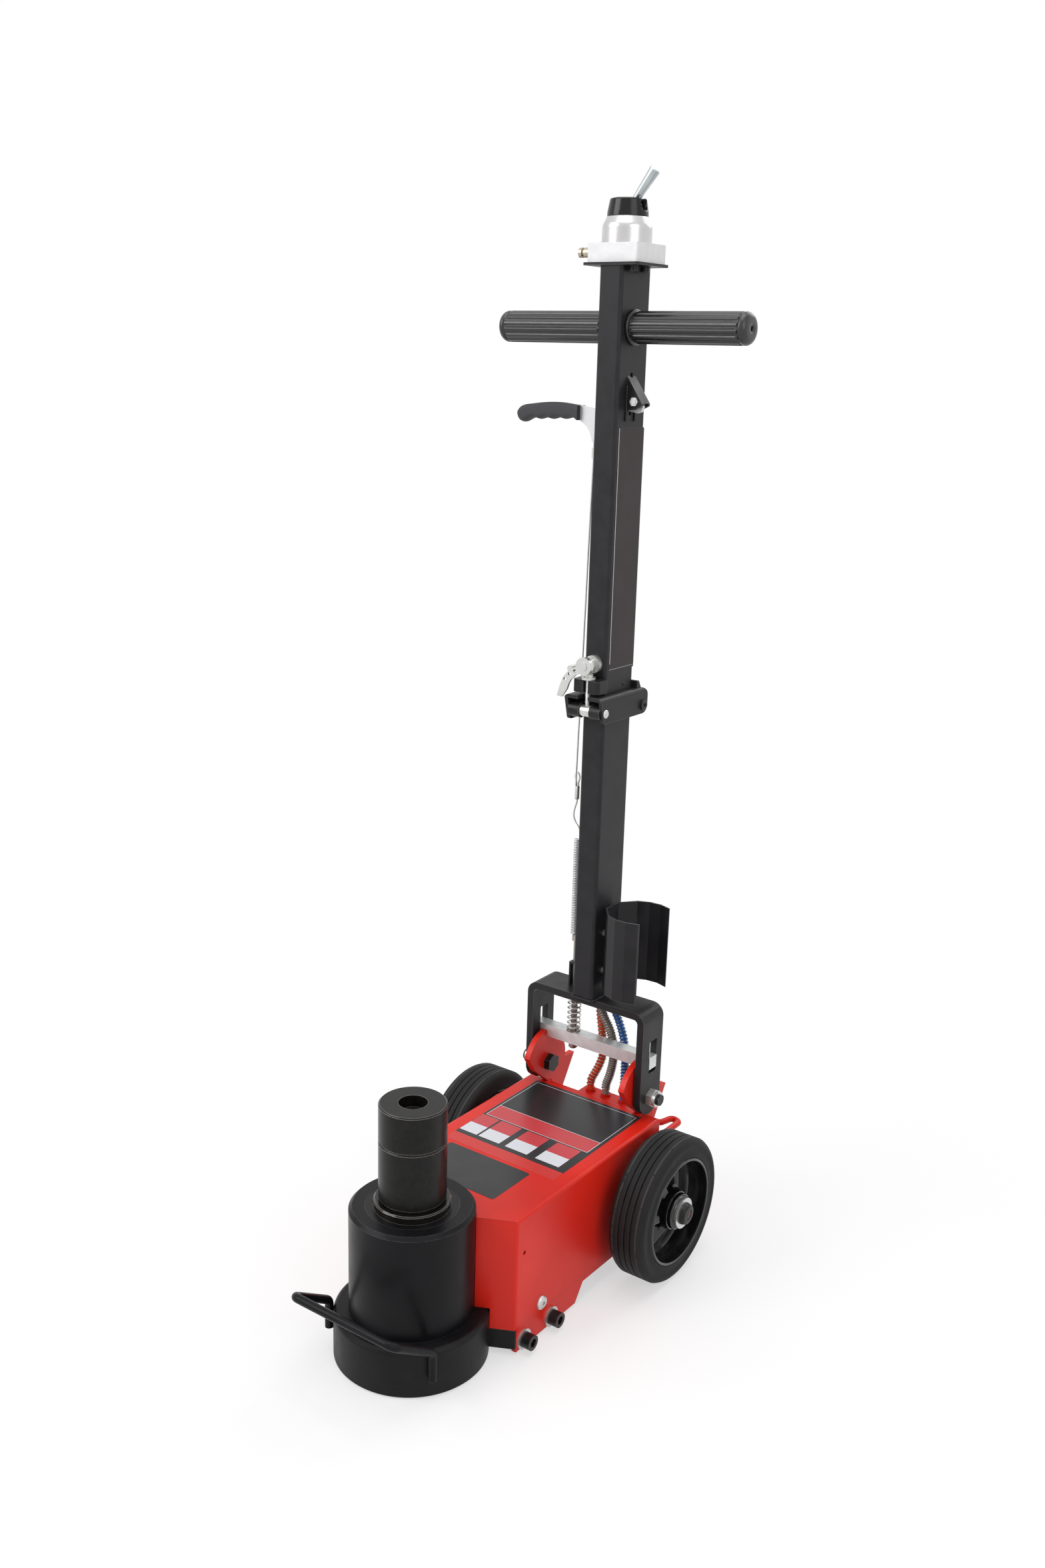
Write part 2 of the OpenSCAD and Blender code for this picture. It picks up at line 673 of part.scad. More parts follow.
axle_half = wheel_out + hub_proud + side_gap + hub_washer_t;
module axle() {
    color([0.5, 0.5, 0.52]) bar_x(-axle_half, 2 * axle_half, axle_r, axle_y, wheel_r);
}
module hub_washers() {
    color([0.75, 0.76, 0.78]) both_sides()
        ring_x(axle_half - hub_washer_t, hub_washer_t, hub_washer_r, axle_r + fit, axle_y, wheel_r);
}
module axle_nuts() {
    dome = 3;
    color([0.08, 0.08, 0.09]) both_sides() translate([axle_half, axle_y, wheel_r]) rotate([0, 90,
        0]) union() {
        cylinder(r = axle_nut_r, h = axle_nut_h);
        cylinder(r = axle_nut_r - dome, h = axle_nut_h + dome);
    }
}

// Tyre with a round shouldered tread and turned grooves, on the +X side
module tyre() {
    inner_r = rim_r;
    shoulder = wheel_r / 10;
    pitch = tyre_w / (groove_count + 1);
    color([0.1, 0.1, 0.1]) translate([wheel_in, axle_y, wheel_r]) rotate([0, 90, 0]) difference() {
        rotate_extrude() polygon(rounded([[inner_r, 0], [wheel_r, 0], [wheel_r, tyre_w], [inner_r, tyre_w]],
            [0, shoulder, shoulder, 0]));
        for (i = [1:groove_count]) translate([0, 0, i * pitch - groove_w / 2]) difference() {
            cylinder(r = wheel_r + over, h = groove_w);
            translate([0, 0, -over]) cylinder(r = wheel_r - groove_depth, h = groove_w + 2 * over);
        }
    }
}
// Dished rim: barrel under the tyre, lips, a disc set back from the outside, and a hub
module rim() {
    barrel = rim_r - fit;
    dish = tyre_w * 0.4;
    hub_in = side_gap;
    cone = 14;
    color([0.07, 0.07, 0.08]) translate([wheel_in, axle_y, wheel_r]) rotate([0, 90, 0]) rotate_extrude()
        polygon([[axle_r + fit, hub_in], [hub_r, hub_in], [hub_r, dish - rim_t], [barrel - rim_t - cone,
            dish - rim_t],
            [barrel - rim_t, dish - rim_t - cone / 2], [barrel - rim_t, 0], [barrel, 0], [barrel, tyre_w],
            [barrel - rim_t, tyre_w], [barrel - rim_t, dish + cone / 2], [barrel - rim_t - cone, dish],
            [hub_r, dish], [hub_r - edge_r, tyre_w + hub_proud], [axle_r + fit, tyre_w + hub_proud]]);
}
module tyre_right() { tyre(); }
module rim_right() { rim(); }
module tyre_left() { mirror([1, 0, 0]) tyre(); }
module rim_left() { mirror([1, 0, 0]) rim(); }

nut_in = leg_out + side_gap;
hex_share = 1.74;
module pivot_bolts() {
    bolt_end = nut_in + pivot_nut_h + edge_r * 2;
    color([0.12, 0.12, 0.13]) both_sides() union() {
        hex_x(ear_in - pivot_head_h, pivot_head_h, pivot_head_r * hex_share, pivot_y, pivot_z);
        bar_x(ear_in - over, bolt_end - ear_in + over, pivot_r, pivot_y, pivot_z);
    }
}
module pivot_washers() {
    color([0.75, 0.76, 0.78]) both_sides()
        ring_x(ear_in + ear_t, leg_in - ear_in - ear_t - side_gap, pivot_washer_r, pivot_r + fit, pivot_y,
            pivot_z);
}
module pivot_nuts() {
    collar = 4;
    color([0.8, 0.81, 0.83]) both_sides() difference() {
        union() {
            hex_x(nut_in, pivot_nut_h - collar, pivot_head_r * hex_share, pivot_y, pivot_z);
            bar_x(nut_in, pivot_nut_h, pivot_head_r - edge_r, pivot_y, pivot_z);
        }
        bar_x(nut_in - over, pivot_nut_h + 2 * over, pivot_r + fit, pivot_y, pivot_z);
    }
}

module handle_fork() {
    leg_r = fork_w / 2;
    under = fork_top - fork_t;
    slot_y0 = bar_y - bar_s / 2 - slot_clear;
    slot_y1 = bar_y + bar_s / 2 + slot_clear;
    slot_low = bar_low - bar_s / 3;
    slot_top = bar_low + bar_s + bar_travel + bar_s / 2;
    low = pivot_z - leg_r;
    color([0.2, 0.2, 0.21]) difference() {
        intersection() {
            plate_y(concat(rounded([[leg_out, low], [leg_out, fork_top], [-leg_out, fork_top], [-leg_out,
                low]],
                [0, fork_bend_r, fork_bend_r, 0]), rounded([[-leg_in, low], [-leg_in, under], [leg_in,
                    under],
                [leg_in, low]], [0, fork_bend_r - fork_t, fork_bend_r - fork_t, 0])), pivot_y - leg_r,
                    fork_w);
            plate_x(concat(arc(pivot_y, pivot_z, leg_r, 180, 360), [[pivot_y + leg_r, fork_top + over],
                [pivot_y - leg_r, fork_top + over]]), -leg_out - over, 2 * leg_out + 2 * over);
        }
        plate_x(rounded([[slot_y0, slot_low], [slot_y1, slot_low], [slot_y1, slot_top], [slot_y0,
            slot_top]], edge_r),
            -leg_out - over, 2 * leg_out + 2 * over);
        bar_x(-leg_out - over, 2 * leg_out + 2 * over, pivot_r + fit, pivot_y, pivot_z);
        box(-half_t + tube_t, half_t - tube_t, tube_y + edge_r, pivot_y + leg_r + over, under - over,
            fork_top + over);
        translate([-pull_x, bar_y, under - over]) cylinder(r = rod_hole_r, h = fork_t + 2 * over);
    }
}

// Rectangular tube from z0 to z1
module tube(z0, z1) {
    translate([0, 0, z0]) linear_extrude(z1 - z0) difference() {
        polygon(rounded([[-half_t, tube_front], [half_t, tube_front], [half_t, tube_rear], [-half_t,
            tube_rear]], tube_r));
        polygon(rounded([[-half_t + tube_t, tube_front + tube_t], [half_t - tube_t, tube_front + tube_t],
            [half_t - tube_t, tube_rear - tube_t], [-half_t + tube_t, tube_rear - tube_t]],
                tube_r - tube_t / 2));
    }
}
module lower_tube() { color([0.22, 0.21, 0.23]) tube(fork_top, lower_top); }

tray_x = half_t + tray_gap;
// Plan of one face of the tray, drawn in by inset, as shares of its half width and depth
tray_shares = [[0, 0.34], [0.27, 0.83], [0.5, 0.98], [0.75, 1], [1, 0.88]];
module storage_tray() {
    near = [for (s = tray_shares) [tray_x + s[0] * tray_depth, tube_y - s[1] * tray_half]];
    far = [for (i = [4:-1:0]) [near[i][0], 2 * tube_y - near[i][1]]];
    skin = concat(near, far);
    inner = [for (p = skin) [p[0] + tray_t * (p[0] > tray_x ? 0.3 : 1),
        p[1] + tray_t * (p[1] < tube_y ? 1 : -1) * (p[0] > tray_x ? 1 : 0.4)]];
    color([0.2, 0.2, 0.22]) translate([0, 0, tray_low]) linear_extrude(tray_h)
        polygon(concat([for (i = [4:-1:0]) near[i]], [for (i = [4:-1:0]) far[i]], [for (i = [5:9]) inner[i]],
            [for (i = [0:4]) inner[i]]));
}
tray_screw_z = [tray_low + tray_h * 0.185, tray_low + tray_h * 0.66];
module tray_screws() {
    spacer_r = 4.5;
    head_r = 4;
    head_h = 2.5;
    y = tube_y - tray_half * 0.2;
    color([0.75, 0.76, 0.78]) for (z = tray_screw_z) {
        bar_x(half_t, tray_gap, spacer_r, y, z);
        bar_x(tray_x + tray_t, head_h, head_r, y, z);
    }
}

module rod_guide() {
    plate = 2;
    guide_half = 6;
    guide_h = 32;
    outer = pull_x + rod_hole_r + plate;
    color([0.15, 0.15, 0.16]) difference() {
        union() {
            box(-outer, -outer + plate, bar_y - guide_half, bar_y + guide_half, fork_top,
                fork_top + guide_h);
            box(-outer, -half_t, bar_y - guide_half, bar_y + guide_half, fork_top + guide_h - plate,
                fork_top + guide_h);
        }
        translate([-pull_x, bar_y, fork_top]) cylinder(r = rod_hole_r, h = guide_h + over);
    }
}

module hinge_bracket() {
    in = bracket_half - bracket_t;
    low = web_top - bracket_h;
    pad_r = hinge_z - low;
    rear = hinge_y + pad_r;
    rake = 4;
    bend_r = 6;
    front = cross_y - barrels_d / 2 - rake / 2;
    web_rear = tube_rear - over / 2;
    slot = eye_half + side_gap + fit;
    color([0.18, 0.18, 0.19]) difference() {
        intersection() {
            union() {
                both_sides() plate_x(rounded([[front, web_top], [front + 2 * rake, low], [rear, low],
                    [rear, web_top]],
                    [0, rake, pad_r - face_gap, pad_r]), in, bracket_t);
                box(-bracket_half, bracket_half, front, web_rear, lower_top, web_top);
            }
            plate_y(rounded([[-bracket_half, low - over], [bracket_half, low - over], [bracket_half,
                web_top],
                [-bracket_half, web_top]], [0, 0, bend_r, bend_r]), front - over, rear - front + 2 * over);
        }
        box(-slot, slot, front - over, cross_y + slot + bolt_r, lower_top - over, web_top + over);
        box(-half_t + tube_t, half_t - tube_t, tube_front + tube_t, tube_rear - tube_t, lower_top - over,
            web_top + over);
        for (p = [[hinge_y, hinge_z], [cross_y, cross_z]])
            bar_x(-bracket_half - over, 2 * bracket_half + 2 * over, pin_r + fit, p[0], p[1]);
    }
}
module hinge_pins() {
    head = 3;
    color([0.7, 0.71, 0.73]) for (p = [[hinge_y, hinge_z], [cross_y, cross_z]]) {
        bar_x(-bracket_half - head, 2 * bracket_half + 2 * head, pin_r, p[0], p[1]);
        both_sides() bar_x(bracket_half, head, pin_r + edge_r, p[0], p[1]);
    }
}
eye_half = 7;
module clamp_barrels() {
    color([0.1, 0.1, 0.11]) both_sides() ring_x(eye_half + side_gap,
        bracket_half - bracket_t - eye_half - side_gap - fit,
        barrels_d / 2, pin_r + fit, cross_y, cross_z);
}

module lock_bar() {
    color([0.75, 0.76, 0.78]) difference() {
        box(-bar_half, bar_half, bar_y - bar_s / 2, bar_y + bar_s / 2, bar_low, bar_low + bar_s);
        translate([-pull_x, bar_y, bar_low - over]) cylinder(r = pull_d / 2 + fit, h = bar_s + 2 * over);
    }
}
nut_h = 6;
washer_h = 1.5;
module pull_rod() {
    eye_h = 8;
    tip = 2;
    color([0.78, 0.79, 0.81]) union() {
        translate([-pull_x, bar_y, bar_low - nut_h - tip]) cylinder(d = pull_d,
            h = return_low - bar_low + nut_h + tip - eye_h);
        translate([-pull_x, bar_y, bar_low - nut_h]) cylinder(d = pull_d * 1.6, h = nut_h, $fn = 6);
        translate([-pull_x, bar_y, bar_low + bar_s]) cylinder(r = lock_od / 2, h = washer_h);
        box(-pull_x - eye_h * 0.6, -pull_x + pull_d / 2, bar_y - pull_d / 2, bar_y + pull_d / 2,
            return_low - eye_h, return_low);
    }
}
spring_x = pull_x + pull_d / 2;
module lock_spring() {
    low = bar_low + bar_s + washer_h + face_gap / 2;
    high = fork_top - fork_t - face_gap / 2;
    echo(lock_gap = coil_gap(low, high, lock_curls, lock_wire));
    color([0.7, 0.71, 0.73]) translate([-pull_x, bar_y, 0])
        swept(coil_path((lock_od - lock_wire) / 2, low, high, lock_curls, lock_wire),
            coil_side(lock_curls), lock_wire / 2, 6);
}
module return_spring() {
    low = return_low + face_gap / 2;
    high = return_low + return_h;
    echo(return_gap = coil_gap(low, high, return_curls, return_wire));
    color([0.8, 0.81, 0.82]) translate([-spring_x, bar_y - return_wire, 0])
        swept(coil_path((return_od - return_wire) / 2, low, high, return_curls, return_wire),
            coil_side(return_curls), return_wire / 2, 6);
}
wire_r = 1;
module cable_link() {
    ferrule_r = 3;
    ferrule = [hook_route[7][2], loop_route[0][2]];
    color([0.78, 0.79, 0.81]) {
        wire(smooth(hook_route, 3), wire_r, 8);
        wire(smooth(loop_route, 3), wire_r, 8);
        translate([hook_route[7][0], hook_route[7][1], ferrule[0]]) cylinder(r = ferrule_r,
            h = ferrule[1] - ferrule[0]);
    }
}
module cable() { color([0.75, 0.76, 0.78]) wire(cable_route, wire_r, 8); }

slot_half_w = 2.6;
hood_half = 8.5;
hood_t = 2.5;
ear_reach = squeeze_x - half_t;
// Upper tube with the folded hood that carries the squeeze lever's pivot
module upper_tube() {
    slot_z = [squeeze_z - ear_reach * 1.39, squeeze_z + ear_reach * 2.82];
    // Shares of the pivot's distance from the tube: the hood's side and the slanted web between its sides
    side_shares = [[0, 2.55], [1.9, -0.14], [1.9, -0.42], [1.1, -0.8], [0, -0.85]];
    web_shares = [[0, 2.55], [1.9, -0.14], [1.66, -0.24], [0, 2.15]];
    root = half_t - over / 2;
    color([0.22, 0.21, 0.23]) difference() {
        union() {
            tube(upper_low, upper_top);
            for (y = [slot_y - hood_half, slot_y + hood_half - hood_t])
                plate_y([for (q = side_shares) [root + q[0] * ear_reach, squeeze_z + q[1] * ear_reach]],
                    y, hood_t);
            plate_y([for (q = web_shares) [root + q[0] * ear_reach, squeeze_z + q[1] * ear_reach]],
                slot_y - hood_half,
                2 * hood_half);
        }
        box(-half_t - over, half_t + over, slot_y - slot_half_w, slot_y + slot_half_w, slot_z[0], slot_z[1]);
        bar_y(squeeze_x, tube_front, tube_d, lever_pin_r + fit, squeeze_z);
        bar_x(-half_t - over, tube_w + 2 * over, tbar_d / 2 + fit, slot_y, tbar_z);
    }
}

module hinge_leaf() {
    reach = 8;
    leaf_half = bracket_half - bracket_t - face_gap;
    gap = hinge_y - tube_rear;
    color([0.18, 0.18, 0.19]) difference() {
        plate_x(concat(arc(hinge_y, hinge_z, knuckle_r, -160, 30), [[hinge_y + gap, hinge_z + knuckle_r],
            [tube_rear + pin_r, upper_low + reach], [tube_rear, upper_low + reach], [tube_rear, upper_low],
            [tube_rear + face_gap * 2, upper_low], [tube_rear + face_gap * 2, hinge_z]]), -leaf_half,
                2 * leaf_half);
        bar_x(-leaf_half - over, 2 * leaf_half + 2 * over, pin_r + fit, hinge_y, hinge_z);
    }
}

module clamp_keeper() {
    lug_half = 18;
    slot = bolt_r + over / 2;
    front = cross_y - swing_washer_r + edge_r + over / 2;
    color([0.18, 0.18, 0.19]) difference() {
        translate([0, 0, keeper_low]) linear_extrude(keeper_h) polygon(rounded([[-lug_half, tube_front],
            [-lug_half, front], [lug_half, front], [lug_half, tube_front]], [0, edge_r * 2, edge_r * 2, 0]));
        box(-slot, slot, front - over, cross_y + slot, keeper_low - over, keeper_top + over);
    }
}

module swing_bolt() {
    eye_r = 7;
    block_r = 5.5;
    color([0.75, 0.76, 0.78]) difference() {
        union() {
            bar_x(-eye_half, 2 * eye_half, eye_r, cross_y, cross_z);
            translate([0, cross_y, cross_z]) cylinder(r = bolt_r, h = cam_rise);
            bar_y(0, cross_y - block_half, 2 * block_half, block_r, cam_z);
        }
        bar_x(-eye_half - over, 2 * eye_half + 2 * over, pin_r + fit, cross_y, cross_z);
        bar_y(0, cross_y - cam_d, 2 * cam_d, cam_pin_r + fit, cam_z);
    }
}
cam_seat = cam_z - cam_d / 2 - side_gap;
module clamp_washer() {
    collar_r = 5.5;
    lift = 0.55;
    low = keeper_top + lift;
    color([0.78, 0.79, 0.81]) translate([0, cross_y, low]) difference() {
        union() {
            cylinder(r = swing_washer_r, h = (cam_seat - low) / 2);
            cylinder(r = collar_r, h = cam_seat - low);
        }
        translate([0, 0, -over]) cylinder(r = bolt_r + fit, h = cam_seat - low + 2 * over);
    }
}
module cam_lever() {
    disc_t = 6;
    blade = 3;
    // Shares of the disc's diameter: the lever's blade, from the disc out to its tip and back
    lever_shares = [[-0.2, 0.35], [-0.357, 0.02], [-0.67, -0.15], [-1.05, -0.42], [-1.32, -0.76], [-1.52,
        -1.25],
        [-1.7, -1.85], [-1.36, -1.88], [-1.04, -1.4], [-0.92, -1.05], [-0.78, -0.81], [-0.47, -0.53],
            [-0.12, -0.4]];
    hole_shares = [[-0.56, -0.31], [-0.9, -0.53], [-1.19, -0.84]];
    hole_r = 2;
    hub_r = 5;
    knob_r = 4;
    front = cross_y - block_half - side_gap - disc_t;
    color([0.78, 0.79, 0.81]) difference() {
        union() {
            for (y = [front, cross_y + block_half + side_gap]) bar_y(0, y, disc_t, cam_d / 2, cam_z);
            translate([0, 0, cam_z]) plate_y(rounded([for (q = lever_shares) q * cam_d], over / 2), front,
                blade);
            bar_y(0, front - over, 2 * (cross_y - front), cam_pin_r, cam_z);
            bar_y(0, front - over, 2 * over, hub_r, cam_z);
            bar_y(-cam_d * 0.86, front, cross_y - front + bolt_r, knob_r, cam_z - cam_d * 0.24);
        }
        for (q = hole_shares) bar_y(q[0] * cam_d, front - over, blade + 2 * over, hole_r,
            cam_z + q[1] * cam_d);
    }
}

cap_t = 5;
tbar_half = tbar_reach - cap_t;
module t_bar() {
    color([0.2, 0.2, 0.21]) difference() {
        bar_x(-tbar_half, 2 * tbar_half, tbar_d / 2, slot_y, tbar_z);
        bar_x(-tbar_reach, 2 * tbar_reach, tbar_d / 2 - tube_t, slot_y, tbar_z);
    }
}
// Grip with lengthwise ribs, a flange at the tube and a closed round end with a small hole
module grips() {
    ribs = 14;
    rib_depth = 1.2;
    flange_t = 4;
    end_l = 9;
    hole_r = 3;
    wall_in = tbar_d / 2 + fit;
    r = grips_d / 2;
    root_r = r - rib_depth;
    l = tbar_reach - half_t - fit;
    step = 360 / ribs;
    // Shares of one rib's angle and of its depth: foot, crown, crown and foot
    rib_shares = [[0, 0], [0.1, 1], [0.55, 1], [0.65, 0]];
    color([0.06, 0.06, 0.07]) both_sides() translate([half_t + fit, slot_y, tbar_z]) rotate([0, 90,
        0]) union() {
        translate([0, 0, flange_t - over]) linear_extrude(l - end_l - flange_t + over) difference() {
            polygon([for (i = [0:ribs - 1], q = rib_shares) (root_r + q[1] * rib_depth)
                * [cos((i + q[0]) * step), sin((i + q[0]) * step)]]);
            circle(r = wall_in);
        }
        rotate_extrude() polygon(concat([[wall_in, 0], [r + edge_r, 0], [r + edge_r, flange_t], [wall_in,
            flange_t]]));
        rotate_extrude() polygon(concat([[wall_in, l - end_l - over], [root_r, l - end_l - over]],
            corner([root_r, 0], [root_r, l], [0, l], end_l * 0.8), [[hole_r, l], [hole_r, l - cap_t + fit],
            [wall_in, l - cap_t + fit]]));
    }
}

bolt_x = half_t + 6.5;
bolt_y = [tube_y - 17.5, tube_y + 5.5];
m6_r = 3;
module top_plate() {
    color([0.2, 0.2, 0.21]) difference() {
        translate([0, 0, upper_top]) linear_extrude(plate_t) polygon(rounded([[-plate_w / 2,
            tube_y - plate_d / 2],
            [plate_w / 2, tube_y - plate_d / 2], [plate_w / 2, tube_y + plate_d / 2], [-plate_w / 2,
                tube_y + plate_d / 2]],
            edge_r * 2));
        for (y = bolt_y) translate([bolt_x, y, upper_top - over]) cylinder(r = m6_r + fit,
            h = plate_t + 2 * over);
    }
}
module plate_bolts() {
    head_h = 6;
    head_r = 5;
    socket = 5;
    color([0.12, 0.12, 0.13]) for (y = bolt_y) translate([bolt_x, y, upper_top]) difference() {
        union() {
            translate([0, 0, -head_h]) cylinder(r = head_r, h = head_h);
            translate([0, 0, -over]) cylinder(r = m6_r, h = plate_t + over);
        }
        translate([0, 0, -head_h - over]) cylinder(d = socket / cos(180 / 6), h = head_h / 2 + over,
            $fn = 6);
    }
}
inlet_y = tube_y - block_d * 0.19;
inlet_z = plate_top + block_h * 0.57;
block_x = 0.5;
inlet_root = block_x - block_w / 2;
inlet_bore = 10;
module valve_block() {
    color([0.8, 0.8, 0.8]) difference() {
        translate([block_x, 0, plate_top]) linear_extrude(block_h) polygon(rounded([[-block_w / 2,
            tube_y - block_d / 2],
            [block_w / 2, tube_y - block_d / 2], [block_w / 2, tube_y + block_d / 2], [-block_w / 2,
                tube_y + block_d / 2]],
            edge_r));
        bar_x(inlet_root - over, inlet_bore + over, inlet_d / 2 - over + fit, inlet_y, inlet_z);
    }
}
// Nipple of a quick coupling: hexagon, neck, groove and head
module air_inlet() {
    hex_l = 5;
    hex_flats = 13;
    neck_l = 9;
    groove_l = 3;
    head_l = 4;
    bore_r = 2;
    neck = inlet_root - hex_l;
    groove = neck - neck_l;
    head = groove - groove_l;
    color([0.7, 0.67, 0.6]) difference() {
        union() {
            hex_x(neck, hex_l, hex_flats, inlet_y, inlet_z);
            bar_x(groove, neck_l + over, inlet_d / 2, inlet_y, inlet_z);
            bar_x(head, groove_l + over, inlet_d / 2 - edge_r, inlet_y, inlet_z);
            bar_x(head - head_l, head_l, inlet_d / 2, inlet_y, inlet_z);
            bar_x(inlet_root - over, inlet_bore - over, inlet_d / 2 - over, inlet_y, inlet_z);
        }
        bar_x(head - head_l - over, 2 * inlet_bore, bore_r, inlet_y, inlet_z);
    }
}
dome_shoulder = 4.8;
module valve_dome() {
    r = dome_d / 2;
    color([0.85, 0.86, 0.87]) translate([0, tube_y, block_top]) rotate_extrude() polygon(concat([[0, 0],
        [r, 0]],
        corner([r, 0], [r, dome_h * 0.66], [r - dome_shoulder, dome_h], 12), [[r - dome_shoulder, dome_h],
            [0, dome_h]]));
}
toggle_gap = 1;
slot_half = toggle_r + toggle_gap;
module valve_cap() {
    top_r = dome_d * 0.36;
    base_r = dome_d / 2 - dome_shoulder;
    low = toggle_z - toggle_r - 1.5 * toggle_gap;
    narrow = toggle_r + 2 * toggle_gap;
    wide = slot_half / cos(toggle_lean) + (toggle_sunk + over) * tan(toggle_lean) + face_gap;
    color([0.05, 0.05, 0.06]) difference() {
        translate([0, tube_y, dome_top]) rotate_extrude() polygon(concat([[0, 0], [base_r, 0], [base_r,
            cap_h * 0.25]],
            corner([base_r, cap_h * 0.25], [top_r, cap_h], [0, cap_h], edge_r), [[0, cap_h]]));
        plate_y([[toggle_x - narrow, low], [toggle_x + narrow, low], [toggle_x + wide, cap_top + over],
            [toggle_x - wide, cap_top + over]], tube_y - slot_half, 2 * slot_half);
    }
}
module toggle_lever() {
    tip_r = 6.2;
    chamfer = 1;
    pin_l = 2 * slot_half - 2 * fit;
    color([0.72, 0.75, 0.76]) union() {
        bar_y(toggle_x, tube_y - pin_l / 2, pin_l, toggle_r, toggle_z);
        translate([toggle_x, tube_y, toggle_z]) rotate([0, toggle_lean, 0]) rotate_extrude() polygon([[0, 0],
            [toggle_r, 0], [tip_r, toggle_l - chamfer], [tip_r - chamfer, toggle_l], [0, toggle_l]]);
    }
}

lever_pin_r = 3;
blade_out = half_t + tube_w * 1.2;
// The blade's tang inside the grip, grown by grow
function tang(grow) = let (run = (grip_reach - blade_out) * 0.85, low = squeeze_z - tube_w * 0.65,
    high = squeeze_z - tube_w * 0.35,
    taper = tube_w / 8)
    [[-blade_out + over, low - grow], [-blade_out + over, high + grow], [-blade_out - run - grow,
        high - taper + grow],
        [-blade_out - run - grow, low - taper - grow]];
module squeeze_lever() {
    // Shares of the tube's width, from its left face and the pivot's height: the lobe beside the tube
    lobe_shares = [[0.167, -0.45], [-0.067, -0.483], [-0.067, -1.433], [-0.2, -1.583], [-0.467, -1.617],
        [-0.617, -1.533],
        [-0.66, -1.367], [-0.737, -1.18], [-0.82, -1.06], [-0.927, -0.96], [-1.033, -0.88], [-1.2, -0.783],
        [-1.2, -0.223], [-0.657, -0.3], [0, -0.283]];
    // Shares of the pivot's distance from the tube, from the pivot: the round end
    end_shares = [[-1, 0], [-0.45, 0.41], [0.09, 0.41], [0.36, 0.05], [0.66, -0.45], [0.45, -1], [0,
        -1.14], [-0.73, -1]];
    color([0.82, 0.82, 0.83]) difference() {
        union() {
            plate_y(concat([for (q = lobe_shares) [-half_t + q[0] * tube_w, squeeze_z + q[1] * tube_w]],
                [for (q = end_shares) [squeeze_x + q[0] * ear_reach, squeeze_z + q[1] * ear_reach]]),
                slot_y - blade_t / 2, blade_t);
            plate_y(tang(0), slot_y - blade_t / 2, blade_t);
        }
        bar_y(squeeze_x, slot_y - blade_t, 2 * blade_t, lever_pin_r + fit, squeeze_z);
    }
}
// Pin with a nut in front, a head behind and a spacer on each side of the blade
module lever_pivot() {
    nut_t = 4;
    nut_flats = 9;
    head_r = 4.5;
    spacer_r = 3.8;
    front = slot_y - hood_half;
    inner = hood_half - hood_t;
    color([0.75, 0.76, 0.78]) union() {
        bar_y(squeeze_x, front - nut_t, 2 * hood_half + 2 * nut_t, lever_pin_r, squeeze_z);
        translate([squeeze_x, front, squeeze_z]) rotate([90, 0, 0])
            cylinder(d = nut_flats / cos(180 / 6), h = nut_t - over, $fn = 6);
        bar_y(squeeze_x, front + 2 * hood_half, nut_t / 2, head_r, squeeze_z);
        for (y = [slot_y - inner + fit, slot_y + blade_t / 2 + side_gap])
            bar_y(squeeze_x, y, inner - blade_t / 2 - side_gap - fit, spacer_r, squeeze_z);
    }
}
module lever_grip() {
    grip_t = 17;
    l = grip_reach - blade_out;
    // Shares of the grip's length, from its inner end and the pivot's height: its outline with the scallops
    grip_shares = [[0, -0.076], [-0.26, -0.047], [-0.5, -0.048], [-0.745, -0.074], [-0.915, -0.105],
        [-0.99, -0.187],
        [-0.96, -0.283], [-0.875, -0.317], [-0.763, -0.271], [-0.7, -0.258], [-0.62, -0.272], [-0.52, -0.25],
        [-0.42, -0.264], [-0.32, -0.242], [-0.22, -0.256], [-0.1, -0.232], [0, -0.262]];
    color([0.2, 0.2, 0.21]) difference() {
        plate_y([for (q = grip_shares) [-blade_out - fit + q[0] * l, squeeze_z + q[1] * l]],
            slot_y - grip_t / 2, grip_t);
        plate_y(tang(fit), slot_y - blade_t / 2 - fit, blade_t + 2 * fit);
    }
}

module hoses() {
    color([0.75, 0.18, 0.14]) wire(smooth(red_route, 1), hose_d / 2, 8);
    color([0.45, 0.45, 0.46]) wire(smooth(grey_route, 1), hose_d / 2, 8);
    color([0.15, 0.25, 0.6]) wire(smooth(blue_route, 1), hose_d / 2, 8);
}

foot_casting();
cylinder_barrel();
gland_nut();
ram_stage_1();
ram_stage_2();
adapter_tall();
adapter_short();
carry_handle();
chassis_cover();
side_plates();
side_ears();
rear_loop();
hose_manifold();
air_motor();
cap_screws();
screw_washers();
button_screws();
axle();
hub_washers();
axle_nuts();
tyre_left();
rim_left();
tyre_right();
rim_right();
pivot_bolts();
pivot_washers();
pivot_nuts();
handle_fork();
lower_tube();
storage_tray();
tray_screws();
rod_guide();
hinge_bracket();
hinge_pins();
clamp_barrels();
lock_bar();
pull_rod();
lock_spring();
return_spring();
cable_link();
cable();
upper_tube();
hinge_leaf();
clamp_keeper();
t_bar();
grips();
top_plate();
plate_bolts();
valve_block();
valve_dome();
valve_cap();
air_inlet();
toggle_lever();
squeeze_lever();
lever_grip();
lever_pivot();
swing_bolt();
clamp_washer();
cam_lever();
hoses();
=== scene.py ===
"""The looks of an air hydraulic jack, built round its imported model. Metres, in the model's own frame."""
import json
import math

import bpy
import numpy as np
from mathutils import Matrix, Vector


